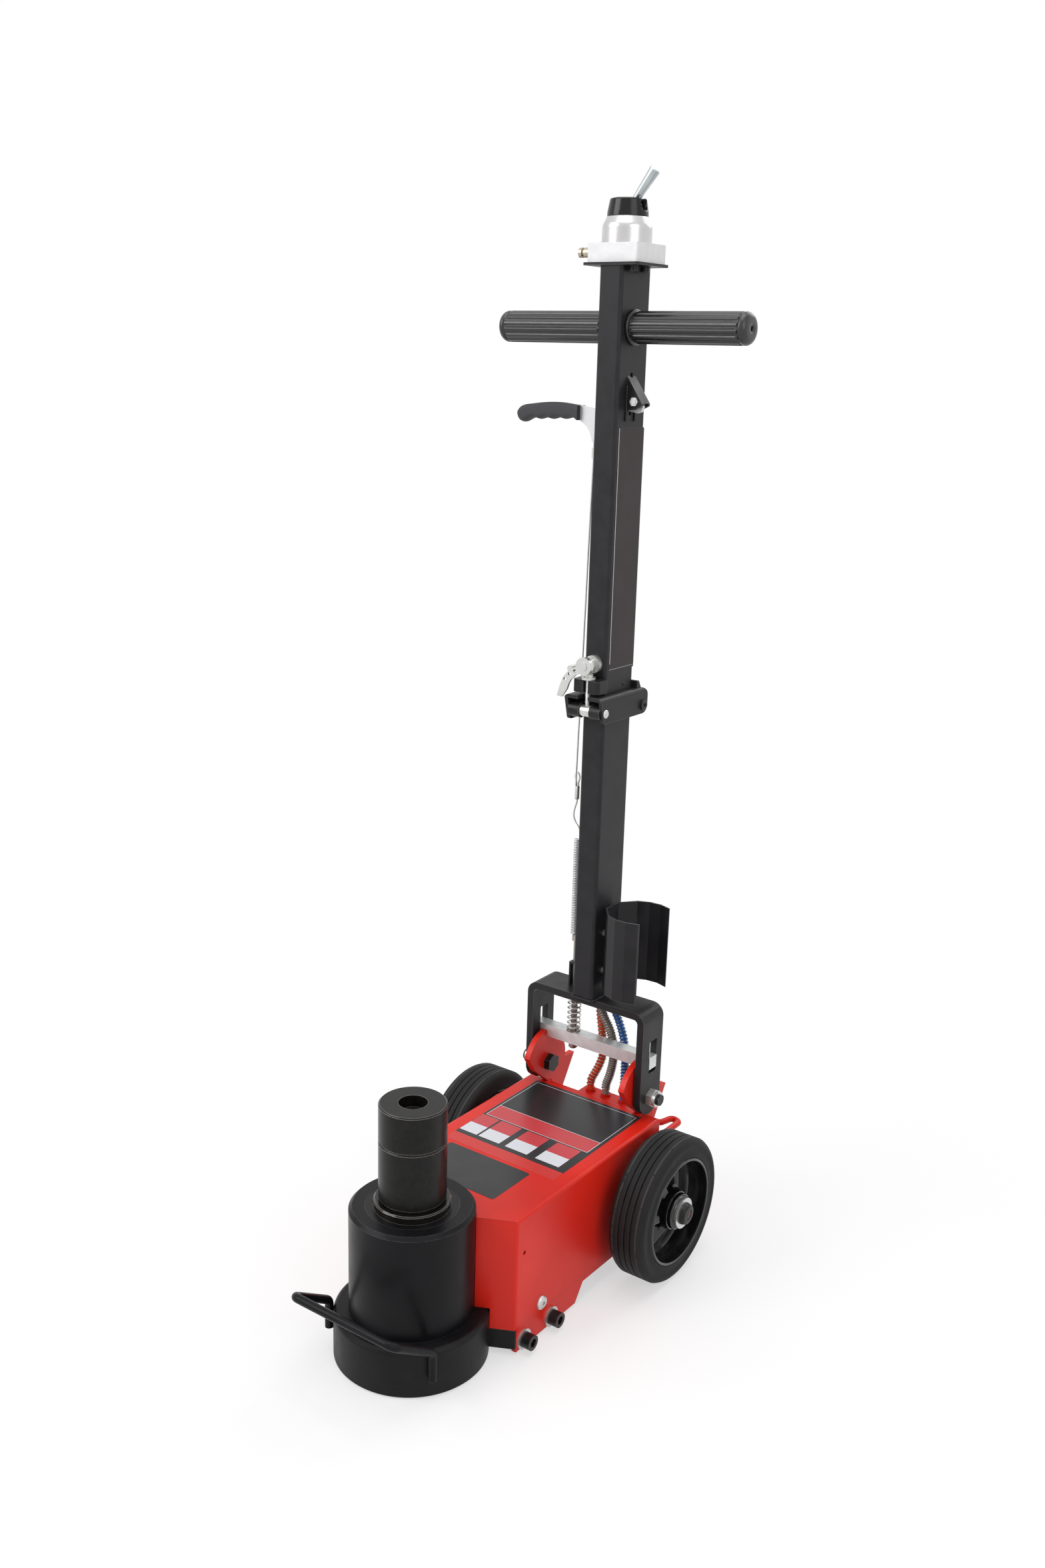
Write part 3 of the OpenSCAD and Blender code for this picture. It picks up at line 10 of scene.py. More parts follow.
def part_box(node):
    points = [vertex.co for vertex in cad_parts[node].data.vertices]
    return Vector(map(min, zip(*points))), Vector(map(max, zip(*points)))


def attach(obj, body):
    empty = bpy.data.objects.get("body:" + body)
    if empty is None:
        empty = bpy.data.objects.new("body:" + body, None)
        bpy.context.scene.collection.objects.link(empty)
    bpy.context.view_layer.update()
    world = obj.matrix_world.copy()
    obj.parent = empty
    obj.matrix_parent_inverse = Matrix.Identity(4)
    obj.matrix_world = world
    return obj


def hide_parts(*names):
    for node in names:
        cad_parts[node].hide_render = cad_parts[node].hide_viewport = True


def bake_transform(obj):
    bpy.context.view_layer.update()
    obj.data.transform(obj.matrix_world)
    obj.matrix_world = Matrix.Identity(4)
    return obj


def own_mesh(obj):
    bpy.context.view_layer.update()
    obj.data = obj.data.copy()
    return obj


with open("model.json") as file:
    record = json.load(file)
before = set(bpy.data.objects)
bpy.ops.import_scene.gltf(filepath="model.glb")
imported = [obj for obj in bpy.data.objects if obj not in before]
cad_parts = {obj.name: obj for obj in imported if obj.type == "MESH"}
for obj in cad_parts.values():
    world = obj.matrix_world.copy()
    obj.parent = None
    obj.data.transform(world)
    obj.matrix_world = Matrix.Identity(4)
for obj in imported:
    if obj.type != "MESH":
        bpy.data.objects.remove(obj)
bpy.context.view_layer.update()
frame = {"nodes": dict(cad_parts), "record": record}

# The camera: where it stands, how it is turned, and the photograph's height and focal length in pixels
CAMERA_AT = (0.9411, -1.1146, 1.0726)
CAMERA_YAW = 0.627
CAMERA_PITCH = 0.274
CAMERA_ROLL = -0.027
PHOTO_H = 2352
FOCAL_PX = 2248.1
SENSOR_MM = 36.0
NEAREST_SEEN = 0.05


def make_camera():
    """Camera at the photograph's viewing angle: heading turned from +Y towards -X, tipped down, rolled a little."""
    ahead = Vector((-math.sin(CAMERA_YAW) * math.cos(CAMERA_PITCH), math.cos(CAMERA_YAW) * math.cos(CAMERA_PITCH),
                    -math.sin(CAMERA_PITCH)))
    level = Vector((math.cos(CAMERA_YAW), math.sin(CAMERA_YAW), 0.0))
    below = ahead.cross(level)
    right = math.cos(CAMERA_ROLL) * level + math.sin(CAMERA_ROLL) * below
    down = -math.sin(CAMERA_ROLL) * level + math.cos(CAMERA_ROLL) * below
    data = bpy.data.cameras.new("camera")
    data.sensor_fit = "VERTICAL"
    data.sensor_height = SENSOR_MM
    data.lens = FOCAL_PX * SENSOR_MM / PHOTO_H
    data.clip_start = NEAREST_SEEN
    camera = bpy.data.objects.new("camera", data)
    bpy.context.scene.collection.objects.link(camera)
    turn = Matrix((right, -down, -ahead)).transposed()
    camera.matrix_world = Matrix.Translation(CAMERA_AT) @ turn.to_4x4()
    bpy.context.scene.camera = camera


make_camera()


# Meshes from arrays

def grid_faces(rows, columns, wrap_rows=False, wrap_columns=False):
    """Quads of a grid of rows by columns points, row by row; a wrapped direction joins its last line to the first."""
    i = np.arange(rows if wrap_rows else rows - 1)[:, None]
    j = np.arange(columns if wrap_columns else columns - 1)[None, :]
    a = i * columns + j
    b = i * columns + (j + 1) % columns
    c = ((i + 1) % rows) * columns + (j + 1) % columns
    d = ((i + 1) % rows) * columns + j
    return np.stack([a, b, c, d], axis=-1).reshape(-1, 4).tolist()


def end_caps(rows, columns):
    """Flat faces over the first and the last ring of a tube of rows rings."""
    return [list(range(columns))[::-1], list(range((rows - 1) * columns, rows * columns))]


def make_piece(name, shape, body, slot, look=None, sharp_deg=40.0):
    """Mesh object from shape, its points and faces, in the material called look or else slot, smooth except at sharp
    edges. It rides body, unless that is None for a piece that lies between two bodies."""
    points, faces = shape
    mesh = bpy.data.meshes.new(name)
    mesh.from_pydata(np.asarray(points, float).reshape(-1, 3).tolist(), [], faces)
    mesh.validate()
    mesh.materials.append(LOOKS[look or slot])
    mesh.shade_smooth()
    mesh.set_sharp_from_angle(angle=math.radians(sharp_deg))
    piece = bpy.data.objects.new(name, mesh)
    bpy.context.scene.collection.objects.link(piece)
    if body:
        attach(piece, body)
    return piece


def mm(values):
    """Millimetres, as the part's source has them, in metres."""
    return np.asarray(values, float) / 1000.0


def run_length(line):
    """Length along line up to each of its points."""
    return np.concatenate([[0], np.cumsum(np.linalg.norm(np.diff(line, axis=0), axis=1))])


def sweep(path, radius, side, sides, closed=False):
    """Tube along path: at each point a circle of radius in the plane square to the path, turned by the vector side.

    A closed path joins its last ring to its first; an open one gets a flat face at each end."""
    path = np.asarray(path, float)
    side = np.broadcast_to(np.asarray(side, float), path.shape)
    radius = np.broadcast_to(np.asarray(radius, float), path.shape[:1])
    along = np.roll(path, -1, axis=0) - np.roll(path, 1, axis=0) if closed else np.gradient(path, axis=0)
    along /= np.linalg.norm(along, axis=1, keepdims=True)
    u = side - along * np.sum(side * along, axis=1, keepdims=True)
    u /= np.linalg.norm(u, axis=1, keepdims=True)
    v = np.cross(along, u)
    angle = np.linspace(0, 2 * np.pi, sides, endpoint=False)
    ring = u[:, None] * np.cos(angle)[None, :, None] + v[:, None] * np.sin(angle)[None, :, None]
    points = path[:, None] + ring * radius[:, None, None]
    faces = grid_faces(len(path), sides, wrap_rows=closed, wrap_columns=True)
    if not closed:
        faces += end_caps(len(path), sides)
    return points.reshape(-1, 3), faces


def lathe(profile, centre, axis, steps, swell=None, closed=True):
    """Turned shape: each (along, radius) point of profile swings round the axis through centre.

    point(a, t) = centre + axis * along + radius * (u cos t + v sin t), where u and v are square to the axis.
    The outside runs forward along the axis. swell(along, radius, t) may give what each point's along and radius grow
    by. A closed profile joins its end to its start; an open one gets a flat face at each end."""
    profile = np.asarray(profile, float)
    axis = np.asarray(axis, float)
    u = np.array([1.0, 0.0, 0.0]) if abs(axis[2]) > 0.5 else np.array([0.0, 0.0, 1.0])
    v = np.cross(axis, u)
    t = np.linspace(0, 2 * np.pi, steps, endpoint=False)[None, :]
    along = np.repeat(profile[:, :1], steps, axis=1)
    radius = np.repeat(profile[:, 1:], steps, axis=1)
    if swell is not None:
        more_along, more_radius = swell(along, radius, t)
        along, radius = along + more_along, radius + more_radius
    ring = u * np.cos(t)[..., None] + v * np.sin(t)[..., None]
    points = np.asarray(centre, float) + axis * along[..., None] + ring * radius[..., None]
    faces = grid_faces(len(profile), steps, wrap_rows=closed, wrap_columns=True)
    if not closed:
        faces += end_caps(len(profile), steps)
    return points.reshape(-1, 3), faces


def lathe_pair(profile, reach, y, z, steps, **more):
    """The turned shape of a profile in millimetres that starts at x = reach and points outward, on both sides."""
    return join([lathe(mm(profile), (side * reach, y, z), (side, 0.0, 0.0), steps, **more) for side in (1.0, -1.0)])


def arc(centre, radius, start, stop, steps):
    """Points of a circle's arc from start to stop, in degrees, in a plane."""
    angle = np.radians(np.linspace(start, stop, steps))
    return np.asarray(centre, float) + radius * np.stack([np.cos(angle), np.sin(angle)], axis=-1)


def round_corners(centre, half, radius, steps, inset=0.0):
    """Points round the four round corners of a rectangle of half sizes half, drawn in by inset at the corners."""
    return np.concatenate([arc(centre + (half - radius) * (sx, sy), radius - inset, start, start + 90, steps)
                           for sx, sy, start in ((1, 1, 0), (-1, 1, 90), (-1, -1, 180), (1, -1, 270))])


def bent_rod(corners, radius, steps=9):
    """Centre line of a bent rod: straight between corners, with an arc of radius at each inner corner.

    At a corner the rod turns by the angle f; the arc starts radius * tan(f / 2) before it and swings through f."""
    corners = np.asarray(corners, float)
    line = [corners[:1]]
    for before, corner, after in zip(corners[:-2], corners[1:-1], corners[2:]):
        arrive = (corner - before) / np.linalg.norm(corner - before)
        leave = (after - corner) / np.linalg.norm(after - corner)
        turn = math.acos(max(-1.0, min(1.0, float(arrive @ leave))))
        inward = (leave - arrive * math.cos(turn)) / math.sin(turn)
        middle = corner - arrive * radius * math.tan(turn / 2) + inward * radius
        swing = np.linspace(0, turn, steps)[:, None]
        line.append(middle - inward * radius * np.cos(swing) + arrive * radius * np.sin(swing))
    return np.concatenate(line + [corners[-1:]])


def join(shapes):
    """Several shapes, each its points and faces, as one."""
    points, faces, start = [], [], 0
    for some_points, some_faces in shapes:
        points.append(np.asarray(some_points, float).reshape(-1, 3))
        faces += [[k + start for k in face] for face in some_faces]
        start += len(points[-1])
    return np.concatenate(points), faces


def spline(route, steps):
    """Catmull-Rom curve through the points of route, with steps points in each stretch."""
    p = np.asarray(route, float)
    p = np.concatenate([p[:1], p, p[-1:]])
    s = np.linspace(0, 1, steps, endpoint=False)[None, :, None]
    a, b, c, d = p[:-3, None], p[1:-2, None], p[2:-1, None], p[3:, None]
    curve = 0.5 * (2 * b + (c - a) * s + (2 * a - 5 * b + 4 * c - d) * s**2 + (3 * b - a - 3 * c + d) * s**3)
    return np.concatenate([curve.reshape(-1, p.shape[1]), p[-1:]])


def coil(x, y, low, high, radius, curls, wire, steps, sides):
    """Spring of round wire about a vertical axis: a helix whose first and last curl lie nearly flat.

    The height follows the turn t as the integral of a pitch that eases in over the first curl and out over the last."""
    t = np.linspace(0, curls, int(curls * steps) + 1)
    pitch = np.clip(np.minimum(t, curls - t), 0, 1)
    pitch = END_PITCH + (1 - END_PITCH) * pitch * pitch * (3 - 2 * pitch)
    z = np.concatenate([[0], np.cumsum((pitch[1:] + pitch[:-1]) / 2)])
    z = low + wire / 2 + (high - low - wire) * z / z[-1]
    angle = 2 * np.pi * t
    side = np.stack([np.cos(angle), np.sin(angle), np.zeros_like(angle)], axis=-1)
    path = np.array([x, y, 0.0]) + side * radius
    path[:, 2] = z
    return sweep(path, wire / 2, side, sides)


# Shader node groups, each built once

def plug(tree, socket, value):
    """Feeds an input socket from another node's output, or sets it to a number, a vector or a colour."""
    if isinstance(value, bpy.types.NodeSocket):
        tree.links.new(value, socket)
    elif socket.type == "RGBA":
        socket.default_value = (*value, 1.0)
    else:
        socket.default_value = value


def add(tree, kind, inputs=None, **settings):
    """New node in tree with its settings, and with its inputs fed, each found by its name or number."""
    made = tree.nodes.new(kind)
    for key, value in settings.items():
        setattr(made, key, value)
    for key, value in (inputs or {}).items():
        plug(tree, made.inputs[key], value)
    return made


def remap(tree, value, low, high, to_low=0.0, to_high=1.0):
    """value mapped from low..high to to_low..to_high, clamped."""
    ends = {"Value": value, "From Min": low, "From Max": high, "To Min": to_low, "To Max": to_high}
    return add(tree, "ShaderNodeMapRange", ends).outputs["Result"]


def combine(tree, operation, a, b=0.0):
    """Math node on one or two values, each a socket or a number."""
    return add(tree, "ShaderNodeMath", {0: a, 1: b}, operation=operation).outputs[0]


def mix_color(tree, factor, a, b):
    """Colour a with colour b laid over it by factor; each is a socket or a colour."""
    return add(tree, "ShaderNodeMix", {0: factor, 6: a, 7: b}, data_type="RGBA").outputs[2]


def object_place(tree):
    """Object coordinates."""
    return add(tree, "ShaderNodeTexCoord").outputs["Object"]


def node_group(name, inputs, outputs):
    """Empty shader group with its inputs, each a name and a default, and its outputs, which are values; gives the
    group, the node that its inputs come from and the node that its outputs go to."""
    group = bpy.data.node_groups.new(name, "ShaderNodeTree")
    for label, default in inputs.items():
        kind = "NodeSocketVector" if isinstance(default, tuple) else "NodeSocketFloat"
        group.interface.new_socket(name=label, in_out="INPUT", socket_type=kind).default_value = default
    for label in outputs:
        group.interface.new_socket(name=label, in_out="OUTPUT", socket_type="NodeSocketFloat")
    return group, group.nodes.new("NodeGroupInput").outputs, group.nodes.new("NodeGroupOutput").inputs


def make_edge_wear():
    """Mask of worn edges: where the normal of a small bevel leaves the true normal, broken up by noise."""
    group, given, result = node_group("edge_wear", {"Radius": 0.001, "Scale": 90.0, "Amount": 0.5}, ["Mask"])
    true_normal = add(group, "ShaderNodeNewGeometry").outputs["Normal"]
    bevel = add(group, "ShaderNodeBevel", {"Radius": given["Radius"]}, samples=4)
    agree = add(group, "ShaderNodeVectorMath", {0: bevel.outputs["Normal"], 1: true_normal}, operation="DOT_PRODUCT")
    edge = remap(group, agree.outputs["Value"], 0.995, 0.86)
    noise = add(group, "ShaderNodeTexNoise", {"Vector": object_place(group), "Scale": given["Scale"], "Detail": 4.0})
    level = combine(group, "ADD", noise.outputs["Fac"], combine(group, "MULTIPLY", edge, 0.35))
    chips = combine(group, "SUBTRACT", level, combine(group, "SUBTRACT", 1.0, given["Amount"]))
    mask = combine(group, "MULTIPLY", remap(group, chips, 0.0, 0.08), remap(group, edge, 0.1, 0.5))
    plug(group, result["Mask"], mask)
    return group


def make_grain():
    """Fine and coarse noise of a cast, painted or powder coated skin, as a height and a value around 0.5."""
    group, given, result = node_group("skin_grain", {"Fine": 900.0, "Coarse": 60.0, "Mix": 0.5}, ["Height", "Patches"])
    place = object_place(group)
    noises = [add(group, "ShaderNodeTexNoise", {"Vector": place, "Scale": given[size], "Detail": 3.0})
              for size in ("Fine", "Coarse")]
    fine, coarse = (noise.outputs["Fac"] for noise in noises)
    both = add(group, "ShaderNodeMix", {0: given["Mix"], 2: fine, 3: coarse}, data_type="FLOAT")
    plug(group, result["Height"], both.outputs[0])
    plug(group, result["Patches"], coarse)
    return group


def make_turning():
    """Fine rings left by a lathe about the upright axis: noise along the sum of height and distance from the axis."""
    group, given, result = node_group("turning_rings", {"Pitch": 1500.0}, ["Rings"])
    x, y, z = add(group, "ShaderNodeSeparateXYZ", {0: object_place(group)}).outputs
    squares = combine(group, "ADD", combine(group, "MULTIPLY", x, x), combine(group, "MULTIPLY", y, y))
    along = combine(group, "ADD", combine(group, "SQRT", squares), z)
    line = add(group, "ShaderNodeTexNoise", {"W": combine(group, "MULTIPLY", along, given["Pitch"]), "Scale": 1.0,
                                             "Detail": 4.0}, noise_dimensions="1D")
    plug(group, result["Rings"], line.outputs["Fac"])
    return group


def make_area():
    """Mask of the rectangle from Low to High in the plane of Place's x and y, with an edge a fifth of a millimetre
    wide."""
    origin = (0.0, 0.0, 0.0)
    group, given, result = node_group("area", {"Place": origin, "Low": origin, "High": (1.0, 1.0, 0.0)}, ["Mask"])
    split = {name: add(group, "ShaderNodeSeparateXYZ", {0: given[name]}).outputs for name in ("Place", "Low", "High")}
    mask = 1.0
    for axis in (0, 1):
        for above, below in (("Place", "Low"), ("High", "Place")):
            gap = combine(group, "SUBTRACT", split[above][axis], split[below][axis])
            mask = combine(group, "MULTIPLY", mask, remap(group, gap, -0.0001, 0.0001))
    plug(group, result["Mask"], mask)
    return group


EDGE_WEAR = make_edge_wear()
SKIN_GRAIN = make_grain()
TURNING = make_turning()
AREA = make_area()


# Materials: each is kept in LOOKS by its name

LOOKS = {}
COAT_ROUGHNESS = 0.1
SHALLOW = 0.0002


def new_material(name, roughness, metallic=0.0, coat=0.0, specular=0.5):
    """Material with its shader's plain values set; gives its tree and its shader's inputs."""
    material = bpy.data.materials.new(name)
    material.use_nodes = True
    inputs = material.node_tree.nodes["Principled BSDF"].inputs
    for label, value in (("Roughness", roughness), ("Metallic", metallic), ("Coat Weight", coat),
                         ("Coat Roughness", COAT_ROUGHNESS), ("Specular IOR Level", specular)):
        inputs[label].default_value = value
    LOOKS[name] = material
    return material.node_tree, inputs


def use_group(tree, group, **values):
    """The outputs of the group placed in tree, with its inputs fed by name."""
    return add(tree, "ShaderNodeGroup", values, node_tree=group).outputs


def set_bump(tree, inputs, height, strength, distance=SHALLOW):
    """Height raised over the surface by a Bump node."""
    bump = add(tree, "ShaderNodeBump", {"Height": height, "Strength": strength, "Distance": distance})
    plug(tree, inputs["Normal"], bump.outputs["Normal"])


def painted(name, color, shade, worn, roughness, fine=900.0, coarse=40.0, bump=0.2, depth=0.0003, wear=0.4, coat=0.0,
            specular=0.5):
    """Paint, powder coat or rubber: colour drifting between color and shade, chips of worn along the edges, and a
    fine skin."""
    tree, inputs = new_material(name, roughness, coat=coat, specular=specular)
    grain = use_group(tree, SKIN_GRAIN, Fine=fine, Coarse=coarse, Mix=0.25)
    chips = use_group(tree, EDGE_WEAR, Radius=0.0012, Scale=140.0, Amount=wear)["Mask"]
    body = mix_color(tree, remap(tree, grain["Patches"], 0.35, 0.65), color, shade)
    plug(tree, inputs["Base Color"], mix_color(tree, chips, body, worn))
    plug(tree, inputs["Roughness"], remap(tree, grain["Patches"], 0.3, 0.7, roughness - 0.06, roughness + 0.08))
    set_bump(tree, inputs, grain["Height"], bump, depth)


def bright_metal(name, color, shade, roughness, fine=1400.0, bump=0.15, metallic=1.0):
    """Plated or drawn metal: a tint that drifts, fine grain and uneven gloss."""
    tree, inputs = new_material(name, roughness, metallic=metallic)
    grain = use_group(tree, SKIN_GRAIN, Fine=fine, Coarse=90.0, Mix=0.3)
    plug(tree, inputs["Base Color"], mix_color(tree, remap(tree, grain["Patches"], 0.3, 0.7), color, shade))
    plug(tree, inputs["Roughness"], remap(tree, grain["Patches"], 0.3, 0.7, roughness - 0.05, roughness + 0.1))
    set_bump(tree, inputs, grain["Height"], bump)


def turned_steel(name, color, shade, roughness, metallic, wear=0.5, specular=0.22):
    """Turned and blackened steel: lathe rings, brown and grey speckle, bright chips on the edges."""
    tree, inputs = new_material(name, roughness, metallic=metallic, specular=specular)
    rings = use_group(tree, TURNING, Pitch=2600.0)["Rings"]
    grain = use_group(tree, SKIN_GRAIN, Fine=700.0, Coarse=130.0, Mix=0.5)
    chips = use_group(tree, EDGE_WEAR, Radius=0.0008, Scale=220.0, Amount=wear)["Mask"]
    speckle = combine(tree, "MULTIPLY", remap(tree, grain["Height"], 0.42, 0.66), 0.5)
    body = mix_color(tree, speckle, color, shade)
    plug(tree, inputs["Base Color"], mix_color(tree, chips, body, (0.32, 0.3, 0.28)))
    plug(tree, inputs["Roughness"], remap(tree, rings, 0.3, 0.7, roughness - 0.08, roughness + 0.1))
    set_bump(tree, inputs, rings, 0.12)


painted("red_enamel", (0.72, 0.021, 0.010), (0.64, 0.017, 0.009), (0.34, 0.03, 0.02), 0.32, fine=420.0, coarse=9.0,
        bump=0.06, wear=0.34, specular=0.22)
painted("black_cast", (0.005, 0.005, 0.006), (0.009, 0.009, 0.010), (0.05, 0.05, 0.05), 0.44, fine=260.0, bump=0.3,
        depth=0.0008, wear=0.42, specular=0.17)
painted("black_satin", (0.0045, 0.0045, 0.0055), (0.007, 0.007, 0.009), (0.06, 0.06, 0.06), 0.36, fine=500.0,
        coarse=25.0, bump=0.1, specular=0.15)
painted("handle_powder", (0.0125, 0.012, 0.014), (0.018, 0.017, 0.0195), (0.09, 0.085, 0.08), 0.42, fine=1500.0,
        coarse=50.0, bump=0.3, specular=0.25)
painted("black_bolt", (0.007, 0.007, 0.008), (0.014, 0.014, 0.014), (0.12, 0.11, 0.1), 0.32, wear=0.5, specular=0.25)
painted("axle_end", (0.050, 0.022, 0.016), (0.030, 0.016, 0.012), (0.10, 0.06, 0.05), 0.4, specular=0.3)
painted("cap_plastic", (0.006, 0.006, 0.007), (0.008, 0.008, 0.009), (0.03, 0.03, 0.03), 0.2, bump=0.05, wear=0.2,
        specular=0.3)
painted("tyre_rubber", (0.011, 0.011, 0.012), (0.018, 0.017, 0.017), (0.05, 0.048, 0.046), 0.66, fine=700.0,
        coarse=30.0, bump=0.35, wear=0.3, specular=0.2)
painted("rim_black", (0.004, 0.004, 0.005), (0.006, 0.006, 0.007), (0.05, 0.05, 0.05), 0.15, bump=0.05, wear=0.25,
        coat=0.3)
painted("grip_rubber", (0.009, 0.009, 0.010), (0.014, 0.014, 0.015), (0.04, 0.04, 0.04), 0.3, coarse=60.0, bump=0.15,
        wear=0.2, specular=0.6)
painted("foam", (0.030, 0.030, 0.034), (0.042, 0.042, 0.046), (0.08, 0.08, 0.08), 0.7, fine=600.0, coarse=120.0,
        bump=0.6, depth=0.0006, wear=0.2)
painted("hose_red", (0.76, 0.080, 0.022), (0.66, 0.06, 0.02), (0.3, 0.05, 0.03), 0.34, wear=0.1, specular=0.25)
painted("hose_blue", (0.012, 0.15, 0.55), (0.010, 0.12, 0.46), (0.1, 0.15, 0.3), 0.34, wear=0.1, specular=0.25)
painted("hose_grey", (0.27, 0.235, 0.205), (0.20, 0.17, 0.15), (0.2, 0.2, 0.2), 0.42, wear=0.1, specular=0.25)
turned_steel("adapter_steel", (0.005, 0.0045, 0.004), (0.018, 0.016, 0.015), 0.3, 0.05)
turned_steel("ram_steel", (0.008, 0.007, 0.006), (0.022, 0.019, 0.016), 0.18, 0.15, specular=0.4)
turned_steel("gland_steel", (0.004, 0.004, 0.005), (0.009, 0.009, 0.009), 0.3, 0.05, wear=0.4)
bright_metal("zinc", (0.66, 0.66, 0.65), (0.58, 0.58, 0.56), 0.3, bump=0.03, metallic=0.82)
bright_metal("bar_metal", (0.72, 0.74, 0.74), (0.62, 0.63, 0.63), 0.36, bump=0.02, metallic=0.6)
bright_metal("spring_steel", (0.62, 0.62, 0.61), (0.50, 0.50, 0.49), 0.3, bump=0.03, metallic=0.85)
bright_metal("guard_wire", (0.36, 0.34, 0.31), (0.24, 0.22, 0.20), 0.34, bump=0.03)
bright_metal("cable_steel", (0.62, 0.62, 0.62), (0.5, 0.5, 0.5), 0.4, fine=2600.0, bump=0.3, metallic=0.6)
bright_metal("block_metal", (0.74, 0.74, 0.75), (0.70, 0.70, 0.71), 0.5, fine=1000.0, bump=0.2, metallic=0.2)
bright_metal("dome_metal", (0.62, 0.61, 0.62), (0.55, 0.54, 0.55), 0.26, bump=0.03)
bright_metal("white_metal", (0.70, 0.70, 0.71), (0.62, 0.62, 0.64), 0.38, metallic=0.5)
bright_metal("nickel", (0.50, 0.45, 0.36), (0.42, 0.37, 0.29), 0.34)
bright_metal("motor_metal", (0.35, 0.35, 0.36), (0.28, 0.28, 0.29), 0.5)
bright_metal("toggle_metal", (0.50, 0.54, 0.55), (0.42, 0.46, 0.47), 0.28, bump=0.03)


def printed_film(name, ground, blocks, plane=(0, 1), roughness=0.3, specular=0.3):
    """Glossy film with plain blocks of colour: each block is ((low, low), (high, high), colour), later ones on top.

    plane gives the two coordinates that the film lies in."""
    tree, inputs = new_material(name, roughness, specular=specular)
    split = add(tree, "ShaderNodeSeparateXYZ", {0: object_place(tree)}).outputs
    place = add(tree, "ShaderNodeCombineXYZ", {k: split[axis] for k, axis in enumerate(plane)}).outputs[0]
    grain = use_group(tree, SKIN_GRAIN, Fine=700.0, Coarse=30.0, Mix=0.5)
    color = mix_color(tree, remap(tree, grain["Patches"], 0.3, 0.7), ground, tuple(1.35 * c for c in ground))
    for low, high, paint in blocks:
        area = use_group(tree, AREA, Place=place, Low=(*low, 0.0), High=(*high, 0.0))
        color = mix_color(tree, area["Mask"], color, paint)
    plug(tree, inputs["Base Color"], color)
    set_bump(tree, inputs, grain["Height"], 0.05)


DARK = (0.022, 0.022, 0.024)
TUBE_DARK = (0.022, 0.015, 0.016)
PALE = (0.62, 0.62, 0.63)
GREY = (0.25, 0.25, 0.25)
SOFT_RED = (0.56, 0.055, 0.065)
BRIGHT_RED = (0.60, 0.035, 0.03)
WHITE = (0.70, 0.71, 0.76)
LINE = 0.0008
# The left and right edges of the fields in the cover film's front row
FIELDS = ((-0.0795, -0.0535), (-0.0505, -0.0195), (-0.0105, 0.0220), (0.0340, 0.0680))


def framed(low, high, inside):
    """A field of the colour inside with a thin pale frame, as two blocks, the frame's and the field's."""
    return [(low, high, PALE), ((low[0] + LINE, low[1] + LINE), (high[0] - LINE, high[1] - LINE), inside)]


def cover_blocks():
    """Blocks of the cover's film: a framed dark field with a red strip, a row of red and white fields, a red band."""
    blocks = framed((-0.0765, 0.2315), (0.0755, 0.3415), DARK) + framed((-0.0765, 0.2315), (0.0755, 0.2610), SOFT_RED)
    for left, right in FIELDS:
        blocks += [((left, 0.1825), (right, 0.2295), SOFT_RED), ((left, 0.1825), (right, 0.2050), WHITE)]
    return blocks + [((-0.0900, 0.1000), (0.0900, 0.1745), BRIGHT_RED)]


printed_film("cover_film", DARK, cover_blocks())
printed_film("front_film", DARK, [])
printed_film("tube_film", TUBE_DARK, [((0.3288, 0.7380), (0.3298, 1.0050), PALE),
                                      ((0.3280, 0.7310), (0.3805, 0.7318), GREY)], (1, 2), 0.4, 0.25)

# The CAD nodes whose look isn't that of their material slot
OWN_LOOK = {"toggle_lever": "toggle_metal", "hose_manifold": "red_enamel", "lock_bar": "bar_metal",
            "pull_rod": "guard_wire", "hoses": "hose_grey"}


def dress_nodes():
    """Each CAD node gets the look of its material slot, or its own."""
    slots = {row["node"]: row["material_slot"] for row in frame["record"]["subparts"]}
    for name, node in frame["nodes"].items():
        node.data.materials.clear()
        node.data.materials.append(LOOKS[OWN_LOOK.get(name, slots[name])])


dress_nodes()


# Stage: floor, world and lamps

FLOOR_HALF = 14.0
FLOOR_Z = -0.0005
WORLD_LIGHT = 0.5
LAMP_AIM = Vector((0.0, 0.2, 0.5))
# Each lamp's name, place, size and power
LAMPS = (("lamp_left", (-1.6, -1.8, 2.2), 1.6, 36.0), ("lamp_right", (2.2, -0.6, 1.8), 1.4, 12.0),
         ("lamp_back", (0.3, 2.4, 2.4), 1.6, 18.0), ("lamp_top", (0.0, 0.0, 3.2), 2.0, 30.0))


def seen_ray(tree):
    """1 for a ray from the camera, from gloss or through glass, and 0 for the light that falls on things."""
    ray = add(tree, "ShaderNodeLightPath").outputs
    straight = combine(tree, "MAXIMUM", ray["Is Camera Ray"], ray["Is Glossy Ray"])
    return combine(tree, "MAXIMUM", straight, ray["Is Transmission Ray"])


